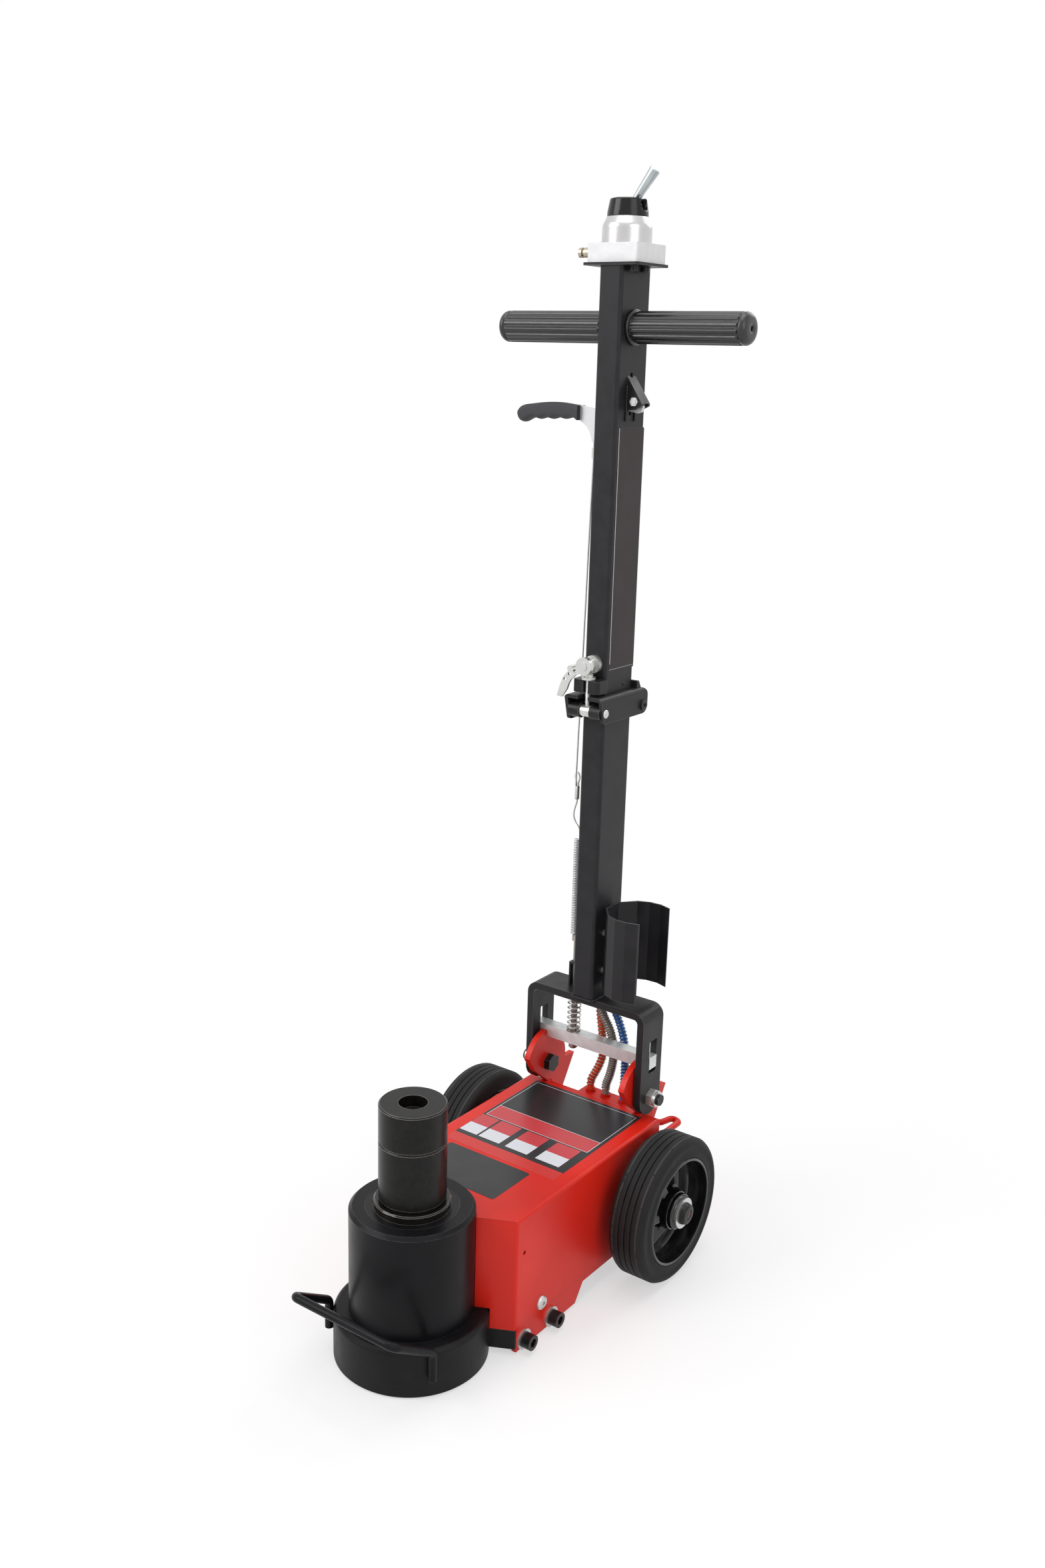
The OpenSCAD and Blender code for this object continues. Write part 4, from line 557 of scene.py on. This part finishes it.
def make_floor():
    """White floor that keeps the shadow near the object and turns to plain white with distance, to the camera and in
    reflections: the share of white grows with the distance from the object's middle."""
    tree, inputs = new_material("floor_white", 0.9)
    plug(tree, inputs["Base Color"], (0.93, 0.93, 0.93))
    away = add(tree, "ShaderNodeVectorMath", {0: object_place(tree), 1: (0.0, 0.15, 0.0)}, operation="DISTANCE")
    far = remap(tree, away.outputs["Value"], 0.35, 1.1, 0.55, 1.0)
    white = add(tree, "ShaderNodeEmission", {"Strength": 1.0})
    plain = tree.nodes["Principled BSDF"].outputs[0]
    mixed = add(tree, "ShaderNodeMixShader", {0: combine(tree, "MULTIPLY", far, seen_ray(tree)), 1: plain,
                                              2: white.outputs[0]})
    plug(tree, tree.nodes["Material Output"].inputs["Surface"], mixed.outputs[0])
    mesh = bpy.data.meshes.new("floor")
    mesh.from_pydata([(x * FLOOR_HALF, y * FLOOR_HALF, FLOOR_Z) for x, y in ((-1, -1), (1, -1), (1, 1), (-1, 1))], [],
                     [(0, 1, 2, 3)])
    mesh.materials.append(LOOKS["floor_white"])
    floor = bpy.data.objects.new("floor", mesh)
    bpy.context.scene.collection.objects.link(floor)


def make_world():
    """World that is white to the camera, to gloss and through glass, and softer for the light that it gives."""
    world = bpy.data.worlds.new("studio")
    bpy.context.scene.world = world
    world.use_nodes = True
    tree = world.node_tree
    tree.nodes.clear()
    soft, bright = (add(tree, "ShaderNodeBackground", {"Color": (1.0, 1.0, 1.0), "Strength": strength}).outputs[0]
                    for strength in (WORLD_LIGHT, 1.0))
    mixed = add(tree, "ShaderNodeMixShader", {0: seen_ray(tree), 1: soft, 2: bright})
    add(tree, "ShaderNodeOutputWorld", {"Surface": mixed.outputs[0]})


def make_lamps():
    """Soft area lamps: the main one over the left front, weaker ones from the right, the back and the top."""
    for name, place, size, power in LAMPS:
        data = bpy.data.lights.new(name, "AREA")
        data.energy = power
        data.size = size
        lamp = bpy.data.objects.new(name, data)
        lamp.location = place
        lamp.rotation_euler = (LAMP_AIM - Vector(place)).to_track_quat("-Z", "Y").to_euler()
        bpy.context.scene.collection.objects.link(lamp)


make_floor()
make_world()
make_lamps()
bpy.context.scene.view_settings.view_transform = "Standard"


# Wheels. Here and below, profiles are in millimetres: how far along the axis, and how far from it

GROOVES = 5
SHOULDER = 0.1
RIM_R = 0.0664
BORE_R = 0.0101
HUB_MM = 24.0
SPOKES = 5
TYRE_STEPS = 128
RIM_STEPS = 160


def wheel_frame(side):
    """Outward axis, centre of the inner face, width and radius of the wheel on side "left" or "right"."""
    low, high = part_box("tyre_" + side)
    outward, inner = (1.0, low.x) if side == "right" else (-1.0, high.x)
    centre = (inner, (low.y + high.y) / 2, (low.z + high.z) / 2)
    return (outward, 0.0, 0.0), centre, high.x - low.x, (high.z - low.z) / 2


def make_tyre(side):
    """Solid rubber tyre: a turned profile with round shoulders, narrow grooves with eased lips and a raised bead."""
    axis, centre, width, radius = wheel_frame(side)
    w, r, s, bore = width * 1000, radius * 1000, SHOULDER * radius * 1000, RIM_R * 1000
    pitch = w / (GROOVES + 1)
    lip = np.array([[-1.1, 0.0], [-0.8, -0.15], [-0.62, -0.6], [-0.55, -3.2], [-0.3, -3.6], [0.3, -3.6], [0.55, -3.2],
                    [0.62, -0.6], [0.8, -0.15], [1.1, 0.0]])
    tread = np.concatenate([lip + [pitch * (k + 1), r] for k in range(GROOVES)])
    inner_side = [[0.6, bore], [0.0, bore + 1.2], [0.0, bore + 3.4], [0.7, bore + 4.6], [0.9, r - s - 3.0],
                  [0.2, r - s - 1.0]]
    outer_side = [[w - point[0], point[1]] for point in inner_side[::-1]]
    profile = np.concatenate([inner_side, arc((s, r - s), s, 180, 90, 9), tread, arc((w - s, r - s), s, 90, 0, 9),
                              outer_side])
    tyre = make_piece("tyre_" + side + "_tread", lathe(mm(profile), centre, axis, TYRE_STEPS), "wheel_" + side,
                      "tyre_rubber", sharp_deg=50.0)
    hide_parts("tyre_" + side)


def make_rim(side):
    """Deep cast rim: a turned profile whose web swells into five broad spokes between the hub and the barrel.

    In the web the height over its floor is lift(radius) * (1 - pocket(angle)), and pocket is a smooth step of
    cos(5 * angle + twist * radius)."""
    axis, centre, width, _ = wheel_frame(side)
    w, b, hub = width * 1000, RIM_R * 1000 - 0.1, HUB_MM
    floor, back, barrel = 0.4 * w, 0.4 * w - 4.0, b - 3.6
    web_r = np.linspace(barrel - 4.0, hub + 2.0, 14)
    before_web = [
        [[0.0, b - 0.6], [0.6, b], [w - 0.8, b], [w, b - 0.6]],
        arc((w - 1.0, b - 1.8), 1.6, 60, -60, 5) + [0.6, 0.0],
        [[w - 3.0, barrel + 0.6], [w - 5.0, barrel], [floor + 8.0, barrel - 0.4], [floor + 3.0, barrel - 1.4]]]
    after_web = [
        [[floor + 5.0, hub + 0.6], [w - 7.0, hub], [w - 5.8, hub - 0.4], [w - 5.4, hub - 1.6], [w - 1.6, hub - 1.8],
         [w - 0.6, hub - 2.2], [w - 0.2, hub - 3.4], [w + 1.0, hub - 3.8], [w + 1.9, hub - 4.6], [w + 2.0, hub - 6.0],
         [w + 2.0, BORE_R * 1000], [0.3, BORE_R * 1000], [0.3, hub - 0.8], [1.0, hub], [back - 2.0, hub]],
        [[back, hub + 2.0], [back, barrel - 4.0], [back - 4.0, barrel - 0.4], [3.0, barrel]],
        [[0.6, barrel + 0.2], [0.0, barrel + 0.8]]]
    web_line = np.stack([np.full_like(web_r, floor), web_r], axis=-1)
    profile = mm(np.concatenate(before_web + [web_line] + after_web))
    first = sum(len(part) for part in before_web)
    last = first + len(web_r)
    web = np.zeros(len(profile))
    web[first:last] = 1.0
    web[first - 1] = web[last] = 0.5
    far, near = (barrel - 4.0) / 1000, hub / 1000

    def spokes(along, radius, angle):
        share = np.clip((radius - near) / (far - near), 0, 1)
        wave = 0.5 + 0.5 * np.cos(SPOKES * angle + 0.9 * share + 0.7)
        pocket = np.clip((wave - 0.12) / 0.62, 0, 1)
        pocket = pocket * pocket * (3 - 2 * pocket)
        lift = 0.004 + 0.012 * (1 - share) ** 1.3
        return web[:, None] * lift * (1 - pocket * np.sin(np.pi * np.clip(0.12 + 0.8 * share, 0, 1)) ** 0.6), 0 * radius

    rim = make_piece("rim_" + side + "_cast", lathe(profile, centre, axis, RIM_STEPS, swell=spokes), "wheel_" + side,
                     "rim_black", sharp_deg=38.0)
    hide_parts("rim_" + side)


def make_axle_nuts():
    """Low domed nuts on the axle's ends, each with the axle's dull brown end showing in it."""
    low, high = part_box("axle_nuts")
    y, z = (low.y + high.y) / 2, (low.z + high.z) / 2
    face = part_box("hub_washers")[1].x
    h = (high.x - face) * 1000
    nut = ([[0, 3], [0, 13.2], [0.8, 13.6], [1.6, 13.4]] + arc((h - 3.2, 9.4), 3.2, 80, 0, 6).tolist()
           + [[h, 6.6], [h - 1.2, 6.2], [h - 1.2, 3]])
    end = [[h - 2, 0.6], [h - 2, 6.1], [h - 0.9, 6.1], [h - 0.4, 5.4], [h - 0.3, 0.6]]
    for name, profile, look, closed in (("axle_nut_domes", nut, "black_bolt", True),
                                        ("axle_ends", end, "axle_end", False)):
        pair = lathe_pair(profile, face, y, z, 48, closed=closed)
        piece = make_piece(name, pair, "jack_base", "black_bolt", look, 35.0)
        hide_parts("axle_nuts")


for wheel_side in ("left", "right"):
    make_tyre(wheel_side)
    make_rim(wheel_side)
make_axle_nuts()


# Grips on the T bar and on the squeeze lever

GRIP_RIBS = 14
SLOT_Y = 0.3495
TBAR_Z = 1.113


def make_grips():
    """Rubber grips: a flange, a ribbed sleeve and a round end, with radius root + depth * rib(angle) along the
    sleeve."""
    half, reach, bar_r, cap = 15.15, 162.0, 12.6, 5.0
    length = reach - half
    root, depth = 16.3, 1.2
    profile = np.concatenate([
        [[0.0, 18.2]], arc((1.0, 18.5), 1.0, 180, 90, 4), arc((3.0, 18.5), 1.0, 90, 20, 4),
        [[4.2, 17.2], [4.6, root + 0.1]],
        [[a, root] for a in (5.4, 6.4, 9.0, 30.0, 60.0, 90.0, 120.0, length - 13.0, length - 10.6, length - 9.8)],
        [[length - 9.2, root + 0.2], [length - 8.6, root + 1.0]], arc((length - 7.4, root - 6.0), 7.2, 84, 6, 9),
        [[length, 7.4], [length, 3.6], [length - 0.6, 3.0], [length - cap, 3.0], [length - cap, bar_r], [0.0, bar_r]]])
    body = (profile[:, 0] > 6.0) & (profile[:, 0] < length - 10.0) & (profile[:, 1] == root)

    def ribs(along, radius, angle):
        crown = np.clip(0.62 + 1.5 * np.cos(GRIP_RIBS * angle), 0, 1)
        return 0 * along, body[:, None] * (depth / 1000) * crown * crown * (3 - 2 * crown)

    pair = lathe_pair(profile, half / 1000, SLOT_Y, TBAR_Z, GRIP_RIBS * 12, swell=ribs)
    grips = make_piece("grips_ribbed", pair, "upper_handle", "grip_rubber", sharp_deg=50.0)
    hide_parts("grips")


# The foam grip on the lever: its flat end, its reach and height in millimetres, and its outline in shares of its length
BLADE_OUT = 51.0
GRIP_REACH = 139.5
SQUEEZE_Z = 1034.0
GRIP_OUTLINE = [[0, -0.076], [-0.26, -0.047], [-0.5, -0.048], [-0.745, -0.074], [-0.915, -0.105], [-0.99, -0.187],
                [-0.96, -0.283], [-0.875, -0.317], [-0.763, -0.271], [-0.7, -0.258], [-0.62, -0.272], [-0.52, -0.25],
                [-0.42, -0.264], [-0.32, -0.242], [-0.22, -0.256], [-0.1, -0.232], [0, -0.262]]
GRIP_HALF = 8.5
GRIP_ROUND = 5.2


def make_foam_grip():
    """Soft grip on the lever: its scalloped outline in layers, drawn in towards both faces like a cushion's edge.

    Layer p of -90 to 90 degrees lies at half * sin(p) across and is drawn in by round * (1 - cos(p)), less and less
    towards the flat end at the blade."""
    outline = spline(np.array(GRIP_OUTLINE) * (GRIP_REACH - BLADE_OUT) + [-BLADE_OUT - 0.1, SQUEEZE_Z], 7)
    outline = np.concatenate([outline, np.linspace(outline[-1], outline[0], 8)[1:-1]])
    along = np.roll(outline, -1, axis=0) - np.roll(outline, 1, axis=0)
    along /= np.linalg.norm(along, axis=1, keepdims=True)
    inward = np.stack([-along[:, 1], along[:, 0]], axis=-1)
    p = np.radians(np.linspace(-90, 90, 15))[:, None, None]
    soft = np.clip((-BLADE_OUT - 1.0 - outline[:, 0]) / 14.0, 0, 1)
    flat = outline[None] + inward[None] * GRIP_ROUND * soft[:, None] * (1 - np.cos(p)) ** 1.1
    across = SLOT_Y * 1000 + GRIP_HALF * np.sin(p[..., 0]) * np.ones(len(outline))
    points = np.stack([flat[..., 0], across, flat[..., 1]], axis=-1)
    faces = grid_faces(len(p), len(outline), wrap_columns=True) + end_caps(len(p), len(outline))
    shape = mm(points), [face[::-1] for face in faces]
    grip = make_piece("lever_grip_foam", shape, "squeeze_lever", "foam", sharp_deg=50.0)
    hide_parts("lever_grip")


make_grips()
make_foam_grip()


# Bent rods, their corners in millimetres

FOOT_R = 87.3
LEG_X = 75.0
CARRY_R = 5.0
CARRY_BEND = 10.0
CARRY_SLOPE = (0.0, 39.0, 60.0)
LOOP_R = 4.0
LOOP_BEND = 5.5
LOOP_CORNERS = [[75.05, 382, 150], [86, 382, 150], [92, 403, 150], [104, 399, 150], [104.05, 371, 150],
                [104.05, 338, 150]]


def make_rods():
    """The front carry handle and the rod at the right rear, each a round rod bent round its corners."""
    leg_y = -math.sqrt((FOOT_R + CARRY_R + 0.05) ** 2 - LEG_X ** 2)
    half = [[LEG_X, leg_y, 25.1], [LEG_X, leg_y, 59.0], [71.0, -(FOOT_R + 26.7), 98.0]]
    corners = half + [[-x, y, z] for x, y, z in half[::-1]]
    rod = sweep(mm(bent_rod(corners, CARRY_BEND)), mm(CARRY_R), CARRY_SLOPE, 24)
    handle = make_piece("carry_handle_rod", rod, "jack_base", "black_satin")
    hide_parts("carry_handle")

    rod = sweep(mm(bent_rod(LOOP_CORNERS, LOOP_BEND)), mm(LOOP_R), (0.0, 0.0, 1.0), 20)
    loop = make_piece("rear_loop_rod", rod, "jack_base", "red_enamel")
    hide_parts("rear_loop")


make_rods()


# Springs, wires, hoses and the cable

PULL_X = -0.0315
BAR_Y = 0.3535
FORK_UNDER = 0.30655
# Springs: radius of the coil, number of curls, thickness of the wire, and the share of the pitch left at the ends
LOCK_COIL = (0.008, 8.0, 0.002)
BACK_COIL = (0.00375, 56.0, 0.0016)
END_PITCH = 0.35
# Hoses: look, pitch of the guard's wire, and the line's points in millimetres
HOSES = {
    "red": ("hose_red", 0.0052, [
        [-16, 376, 168], [-16, 376, 180], [-9, 376, 195], [-2, 376, 212], [1, 376, 230], [-2, 375.5, 250],
        [-5, 374.5, 275], [-7, 373.5, 295], [-7.5, 372.5, 312], [-7.5, 372.5, 330]]),
    "grey": ("hose_grey", 0.0034, [
        [7, 376, 168], [7, 376, 180], [13, 375, 198], [18, 373, 220], [19, 370.5, 240], [14, 368, 262],
        [6, 365.5, 279], [1, 363.5, 294], [0, 363, 310], [0, 363, 330]]),
    "blue": ("hose_blue", 0.0044, [
        [34, 376, 168], [34, 376, 182], [34, 376, 205], [33.5, 376, 228], [30, 376.5, 250], [22.5, 377, 270],
        [14.5, 376.5, 286], [9.5, 374, 300], [7.5, 370.5, 314], [7.5, 370.5, 330]]),
}
HOSE_R = 0.0045
GUARD_WIRE = 0.0011
GUARD_GAP = 0.0002
HOOK_ROUTE = [[-31.75, 352, 510.3], [-31.9, 352, 514], [-33.8, 352, 524], [-40, 352, 532], [-42.5, 352, 540],
              [-40.5, 352, 550], [-38.5, 352, 556], [-38.5, 352, 560]]
LOOP_ROUTE = [[-40, 352, 577], [-40, 352, 581], [-42, 352, 588], [-40.5, 352, 593.5], [-37.5, 352, 593.5],
              [-35.5, 352, 588], [-37, 352, 581], [-37, 352, 577]]
CABLE_ROUTE = [[-38.5, 348.5, 577.3], [-38.3, 348.5, 600], [-37.6, 348.5, 640], [-36.5, 349, 700], [-35.4, 349, 760],
               [-34.3, 349, 820], [-33.2, 349, 880], [-32, 349.3, 940], [-31.3, 349.5, 980]]
EYE_ROUTE = [[-31.2, 349.5, 979], [-30.2, 347.6, 983], [-29, 345.9, 988], [-28, 346.4, 993], [-27.6, 348, 995.5],
             [-27.6, 351, 995.5], [-28, 352.6, 993], [-29, 353.1, 988], [-30.2, 351.4, 983], [-31.2, 349.5, 979]]
CABLE_R = 0.001
# Each stretch of the cable, from point to point of its line, with the two bodies it lies between and where it bends
CABLE_STRETCHES = (("low", 0, 22, "lock_slide", "lower_handle", (-0.0385, 0.3485, 0.580), (-0.0376, 0.3485, 0.638)),
                   ("middle", 22, 60, "lower_handle", "upper_handle", (-0.037, 0.3488, 0.655), (-0.036, 0.349, 0.71)),
                   ("high", 60, 81, "upper_handle", "squeeze_lever", (-0.0332, 0.349, 0.885), (-0.0313, 0.3495, 0.978)))


def make_springs():
    """The lock spring coils up to the fork's underside and rides the lower handle; the return spring moves with the
    rod.
    """
    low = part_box("lock_spring")[0].z
    wire = coil(PULL_X, BAR_Y, low, FORK_UNDER, *LOCK_COIL, steps=24, sides=12)
    lock = make_piece("lock_spring_wire", wire, "lower_handle", "spring_steel")
    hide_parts("lock_spring")
    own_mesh(lock)

    low_corner, high_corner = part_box("return_spring")
    centre = (low_corner + high_corner) / 2
    wire = coil(centre.x, centre.y, low_corner.z, high_corner.z, *BACK_COIL, steps=16, sides=8)
    back = make_piece("return_spring_wire", wire, "lock_slide", "spring_steel", "bar_metal")
    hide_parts("return_spring")


def guard_path(route, radius, pitch, steps=14):
    """Helix of a steel guard round a hose: the hose's line plus radius * (u cos a + v sin a), where a grows by a full
    turn in each pitch of the line's length, and u and v are square to the line. Gives the path and its side vectors."""
    line = spline(mm(route), 30)
    length = run_length(line)
    s = np.linspace(0.006, length[-1] - 0.004, int(length[-1] / pitch * steps))
    centre = np.stack([np.interp(s, length, line[:, k]) for k in range(3)], axis=-1)
    along = np.gradient(centre, axis=0)
    along /= np.linalg.norm(along, axis=1, keepdims=True)
    u = np.array([0.0, 1.0, 0.0]) - along * along[:, 1:2]
    u /= np.linalg.norm(u, axis=1, keepdims=True)
    v = np.cross(along, u)
    a = 2 * np.pi * s / pitch
    side = u * np.cos(a)[:, None] + v * np.sin(a)[:, None]
    return centre + side * radius, side


def make_hoses():
    """Three air hoses with their wire guards, from the manifold up to the fork."""
    for name, (look, pitch, route) in HOSES.items():
        tube = sweep(spline(mm(route), 10), HOSE_R, (0, 1, 0), 20)
        hose = make_piece(name + "_hose", tube, None, "hose_rubber", look)
        path, side = guard_path(route, HOSE_R + GUARD_WIRE / 2 + GUARD_GAP, pitch)
        guard = make_piece(name + "_guard", sweep(path, GUARD_WIRE / 2, side, 6), None, "spring_steel", "guard_wire")
        for piece in (hose, guard):
            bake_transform(piece)
    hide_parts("hoses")


def make_cable():
    """The link over the return spring, and the cable that goes up from it to the squeeze lever's blade."""
    ferrule = lathe(mm([[0, 1.6], [0, 2.6], [0.5, 3.0], [16.5, 3.0], [17, 2.6], [17, 1.6]]),
                    mm([-38.5, 352, 560]), (0, 0, 1), 24, closed=False)
    wires = [sweep(spline(mm(route), 10), CABLE_R, (0, 1, 0), 12) for route in (HOOK_ROUTE, LOOP_ROUTE)]
    link = make_piece("cable_link_wires", join(wires + [ferrule]), "lock_slide", "zinc")
    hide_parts("cable_link")

    line = spline(mm(CABLE_ROUTE), 10)
    for name, first, last, below, above, start, end in CABLE_STRETCHES:
        wire = sweep(line[first:last + 1], CABLE_R, (0, 1, 0), 12)
        cable = make_piece("cable_" + name, wire, None, "zinc", "cable_steel")
        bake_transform(cable)
        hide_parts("cable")
    crimp = lathe(mm([[0, 1.05], [0, 2], [0.4, 2.4], [11.6, 2.4], [12, 2], [12, 1.05]]), mm([-31.4, 349.5, 969]),
                  (0, 0, 1), 20, closed=False)
    eye = sweep(spline(mm(EYE_ROUTE), 8), CABLE_R, (1, 0, 0), 10)
    make_piece("cable_eye", join([crimp, eye]), "squeeze_lever", "zinc")


make_springs()
make_hoses()
make_cable()


# Thread, welds, the rivet, the clamp's pins and the valve's cap

THREAD_ENDS = ((0.6942, 0.7210), (0.7277, 0.7312))
THREAD_CORE = 0.00303
THREAD_DEPTH = 0.00036
THREAD_PITCH = 0.0016
THREAD_ROW = 0.0002
TUBE_FACE = 0.0156
BEAD_R = 0.0017
BEAD_DROP = 0.0032
BEAD_DRIFT = 0.017
CAP_SLOT = 0.0046
CAP_DEPTH = 0.0125


def make_thread():
    """Thread of the swing bolt: radius core + depth * (1 - |2 frac(z / pitch - turn) - 1|) over two lengths of it."""
    low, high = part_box("clamp_washer")
    x, y = (low.x + high.x) / 2, (low.y + high.y) / 2

    def crest(along, radius, angle):
        phase = (along / THREAD_PITCH - angle / (2 * np.pi)) % 1.0
        return 0 * along, THREAD_DEPTH * (1 - np.abs(2 * phase - 1))

    lengths = []
    for bottom, top in THREAD_ENDS:
        rows = int((top - bottom) / THREAD_ROW)
        profile = np.stack([np.linspace(0, top - bottom, rows), np.full(rows, THREAD_CORE)], axis=-1)
        lengths.append(lathe(profile, (x, y, bottom), (0, 0, 1), 32, swell=crest, closed=False))
    make_piece("swing_bolt_thread", join(lengths), "swing_bolt", "zinc", sharp_deg=30.0)


def bead(path, radius, side, closed=False):
    """Weld bead: a rod along path whose radius swells and sinks with each drop, with slow drift between them."""
    s = run_length(path)
    swell = 1 + 0.16 * np.sin(2 * np.pi * s / BEAD_DROP) + 0.12 * np.sin(2 * np.pi * s / BEAD_DRIFT + 1.0)
    return sweep(path, radius * swell, side, 10, closed)


def round_box(half, radius, centre):
    """Closed line round a rectangle with round corners, at the height of centre, with points every millimetre or so."""
    ring = round_corners(np.zeros(2), np.array(half), radius, 9)
    ring = np.concatenate([ring, ring[:1]])
    s = run_length(ring)
    even = np.linspace(0, s[-1], int(s[-1] / 0.0008))[:-1]
    flat = np.stack([np.interp(even, s, ring[:, k]) for k in range(2)], axis=-1)
    return np.concatenate([flat, np.zeros((len(flat), 1))], axis=1) + np.asarray(centre, float)


def make_welds():
    """Weld beads where the tube meets the fork, the hood meets the tube and the ears meet the cover."""
    tube = round_box((0.0155, 0.0305), 0.004, (0.0, 0.3515, 0.3163))
    make_piece("fork_weld", bead(tube, 0.0019, (0, 0, 1), closed=True), "lower_handle", "handle_powder")
    beads = [bead(np.linspace((x, 0.3475, 0.1702), (x, 0.3595, 0.1702), 20), BEAD_R, (1, 0, 0))
             for x in (-0.0752, -0.0668, 0.0668, 0.0752)]
    make_piece("ear_welds", join(beads), "jack_base", "red_enamel")
    beads = [bead(np.linspace((TUBE_FACE, y, 1.0125), (TUBE_FACE, y, 1.0515), 60), BEAD_R, (1, 0, 0))
             for y in (SLOT_Y - 0.0091, SLOT_Y + 0.0091)]
    make_piece("hood_welds", join(beads), "upper_handle", "handle_powder", "cap_plastic")


def make_rivet():
    """Small domed rivet on the tube's right face."""
    profile = np.concatenate([[[-0.0003, 0.0022]], arc((0.0, 0.0), 0.0022, 0, 80, 7)[:, ::-1] * [0.55, 1.0]])
    rivet = lathe(profile, (0.01505, 0.361, 0.7106), (1, 0, 0), 24, closed=False)
    make_piece("tube_rivet", rivet, "upper_handle", "black_bolt")


def make_pins():
    """The clamp's two cross pins: the hinge pin has black heads with a hex socket, the front one small bright domes.

    A socket is six flat faces round a turned recess: its radius is flats / cos(angle to the nearest flat)."""
    shaft, w = 3.9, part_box("hinge_bracket")[1].x * 1000

    def socket(along, radius, angle):
        off = (angle + math.pi / 6) % (math.pi / 3) - math.pi / 6
        return 0 * along, np.where(radius < 0.0027, radius * (1 / np.cos(off) - 1), 0)

    rear = [[0, shaft], [w, shaft], [w, 6.4], [w + 2.2, 6.4], [w + 2.8, 6.1], [w + 3, 5.5], [w + 3, 2.6], [w + 1, 2.5],
            [w + 0.8, 0.4]]
    front = [[0, shaft], [w, shaft]] + (arc((0, 0), 5.2, 0, 86, 8)[:, ::-1] * [0.4, 1] + [w, 0]).tolist()
    for name, profile, y, z, look in (("hinge_pin_rear", rear, 0.3895, 0.682, "black_bolt"),
                                      ("hinge_pin_front", front, 0.309, 0.684, "zinc")):
        pair = lathe_pair(profile, 0.0, y, z, 36, swell=socket, closed=False)
        pin = make_piece(name, pair, "lower_handle", "zinc", look, 30.0)
        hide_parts("hinge_pins")


def make_cap():
    """Valve cap with a notch for the lever: its top is cut down to floor + 5 * (|y| - half) over the notch."""
    low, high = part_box("valve_cap")
    middle = (low + high) / 2
    h, r, top = (high.z - low.z) * 1000, (high.x - low.x) * 500, 19.8
    wall = np.stack([np.linspace(h * 0.3, h - 2.4, 12), np.linspace(r - 0.3, top + 0.6, 12)], axis=-1)
    roof = np.stack([np.full(24, h), np.linspace(top - 2.4, 0.3, 24)], axis=-1)
    profile = np.concatenate([[[0, 0.3], [0, r - 0.4], [0.4, r], [h * 0.25, r - 0.1]], wall,
                              arc((h - 2.4, top - 1.8), 2.4, 80, 5, 6), roof])

    def notch(along, radius, angle):
        floor = (high.z - low.z) - CAP_DEPTH + 5 * np.clip(np.abs(radius * np.sin(angle)) - CAP_SLOT, 0, None)
        return np.minimum(along, floor) - along, 0 * radius

    turned = lathe(mm(profile), (middle.x, middle.y, low.z), (0, 0, 1), 144, swell=notch, closed=False)
    cap = make_piece("valve_cap_notched", turned, "upper_handle", "cap_plastic")
    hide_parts("valve_cap")


make_thread()
make_welds()
make_rivet()
make_pins()
make_cap()


# Bare panels on the cover and the tube

FILM = 0.00018


def slab(low, high, radius, base):
    """Thin film: a rectangle with round corners from low to high in its own plane, on the height base, with eased
    edges."""
    low, high = np.asarray(low, float), np.asarray(high, float)
    middle, half = (low + high) / 2, (high - low) / 2
    rings = []
    for inset, height in ((0.0, 0.0), (0.0, 0.7), (0.0001, 1.0)):
        ring = round_corners(middle, half, radius, 7, inset)
        rings.append(np.concatenate([ring, np.full((len(ring), 1), height * FILM + base)], axis=1))
    faces = grid_faces(len(rings), len(ring), wrap_columns=True) + end_caps(len(rings), len(ring))
    return np.concatenate(rings), faces


def make_panels():
    """Bare films: two on the cover's top and one on the handle tube's right face."""
    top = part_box("chassis_cover")[1].z + 0.00003
    film = slab((-0.080, 0.155), (0.080, 0.3465), 0.0015, top)
    make_piece("cover_panel", film, "jack_base", "black_satin", "cover_film", 20.0)
    film = slab((-0.067, 0.079), (0.051, 0.150), 0.003, top)
    make_piece("front_panel", film, "jack_base", "black_satin", "front_film", 20.0)
    points, faces = slab((0.328, 0.7285), (0.381, 1.0055), 0.002, 0.01503)
    make_piece("tube_panel", (points[:, [2, 0, 1]], faces), "upper_handle", "black_satin", "tube_film", 20.0)


make_panels()
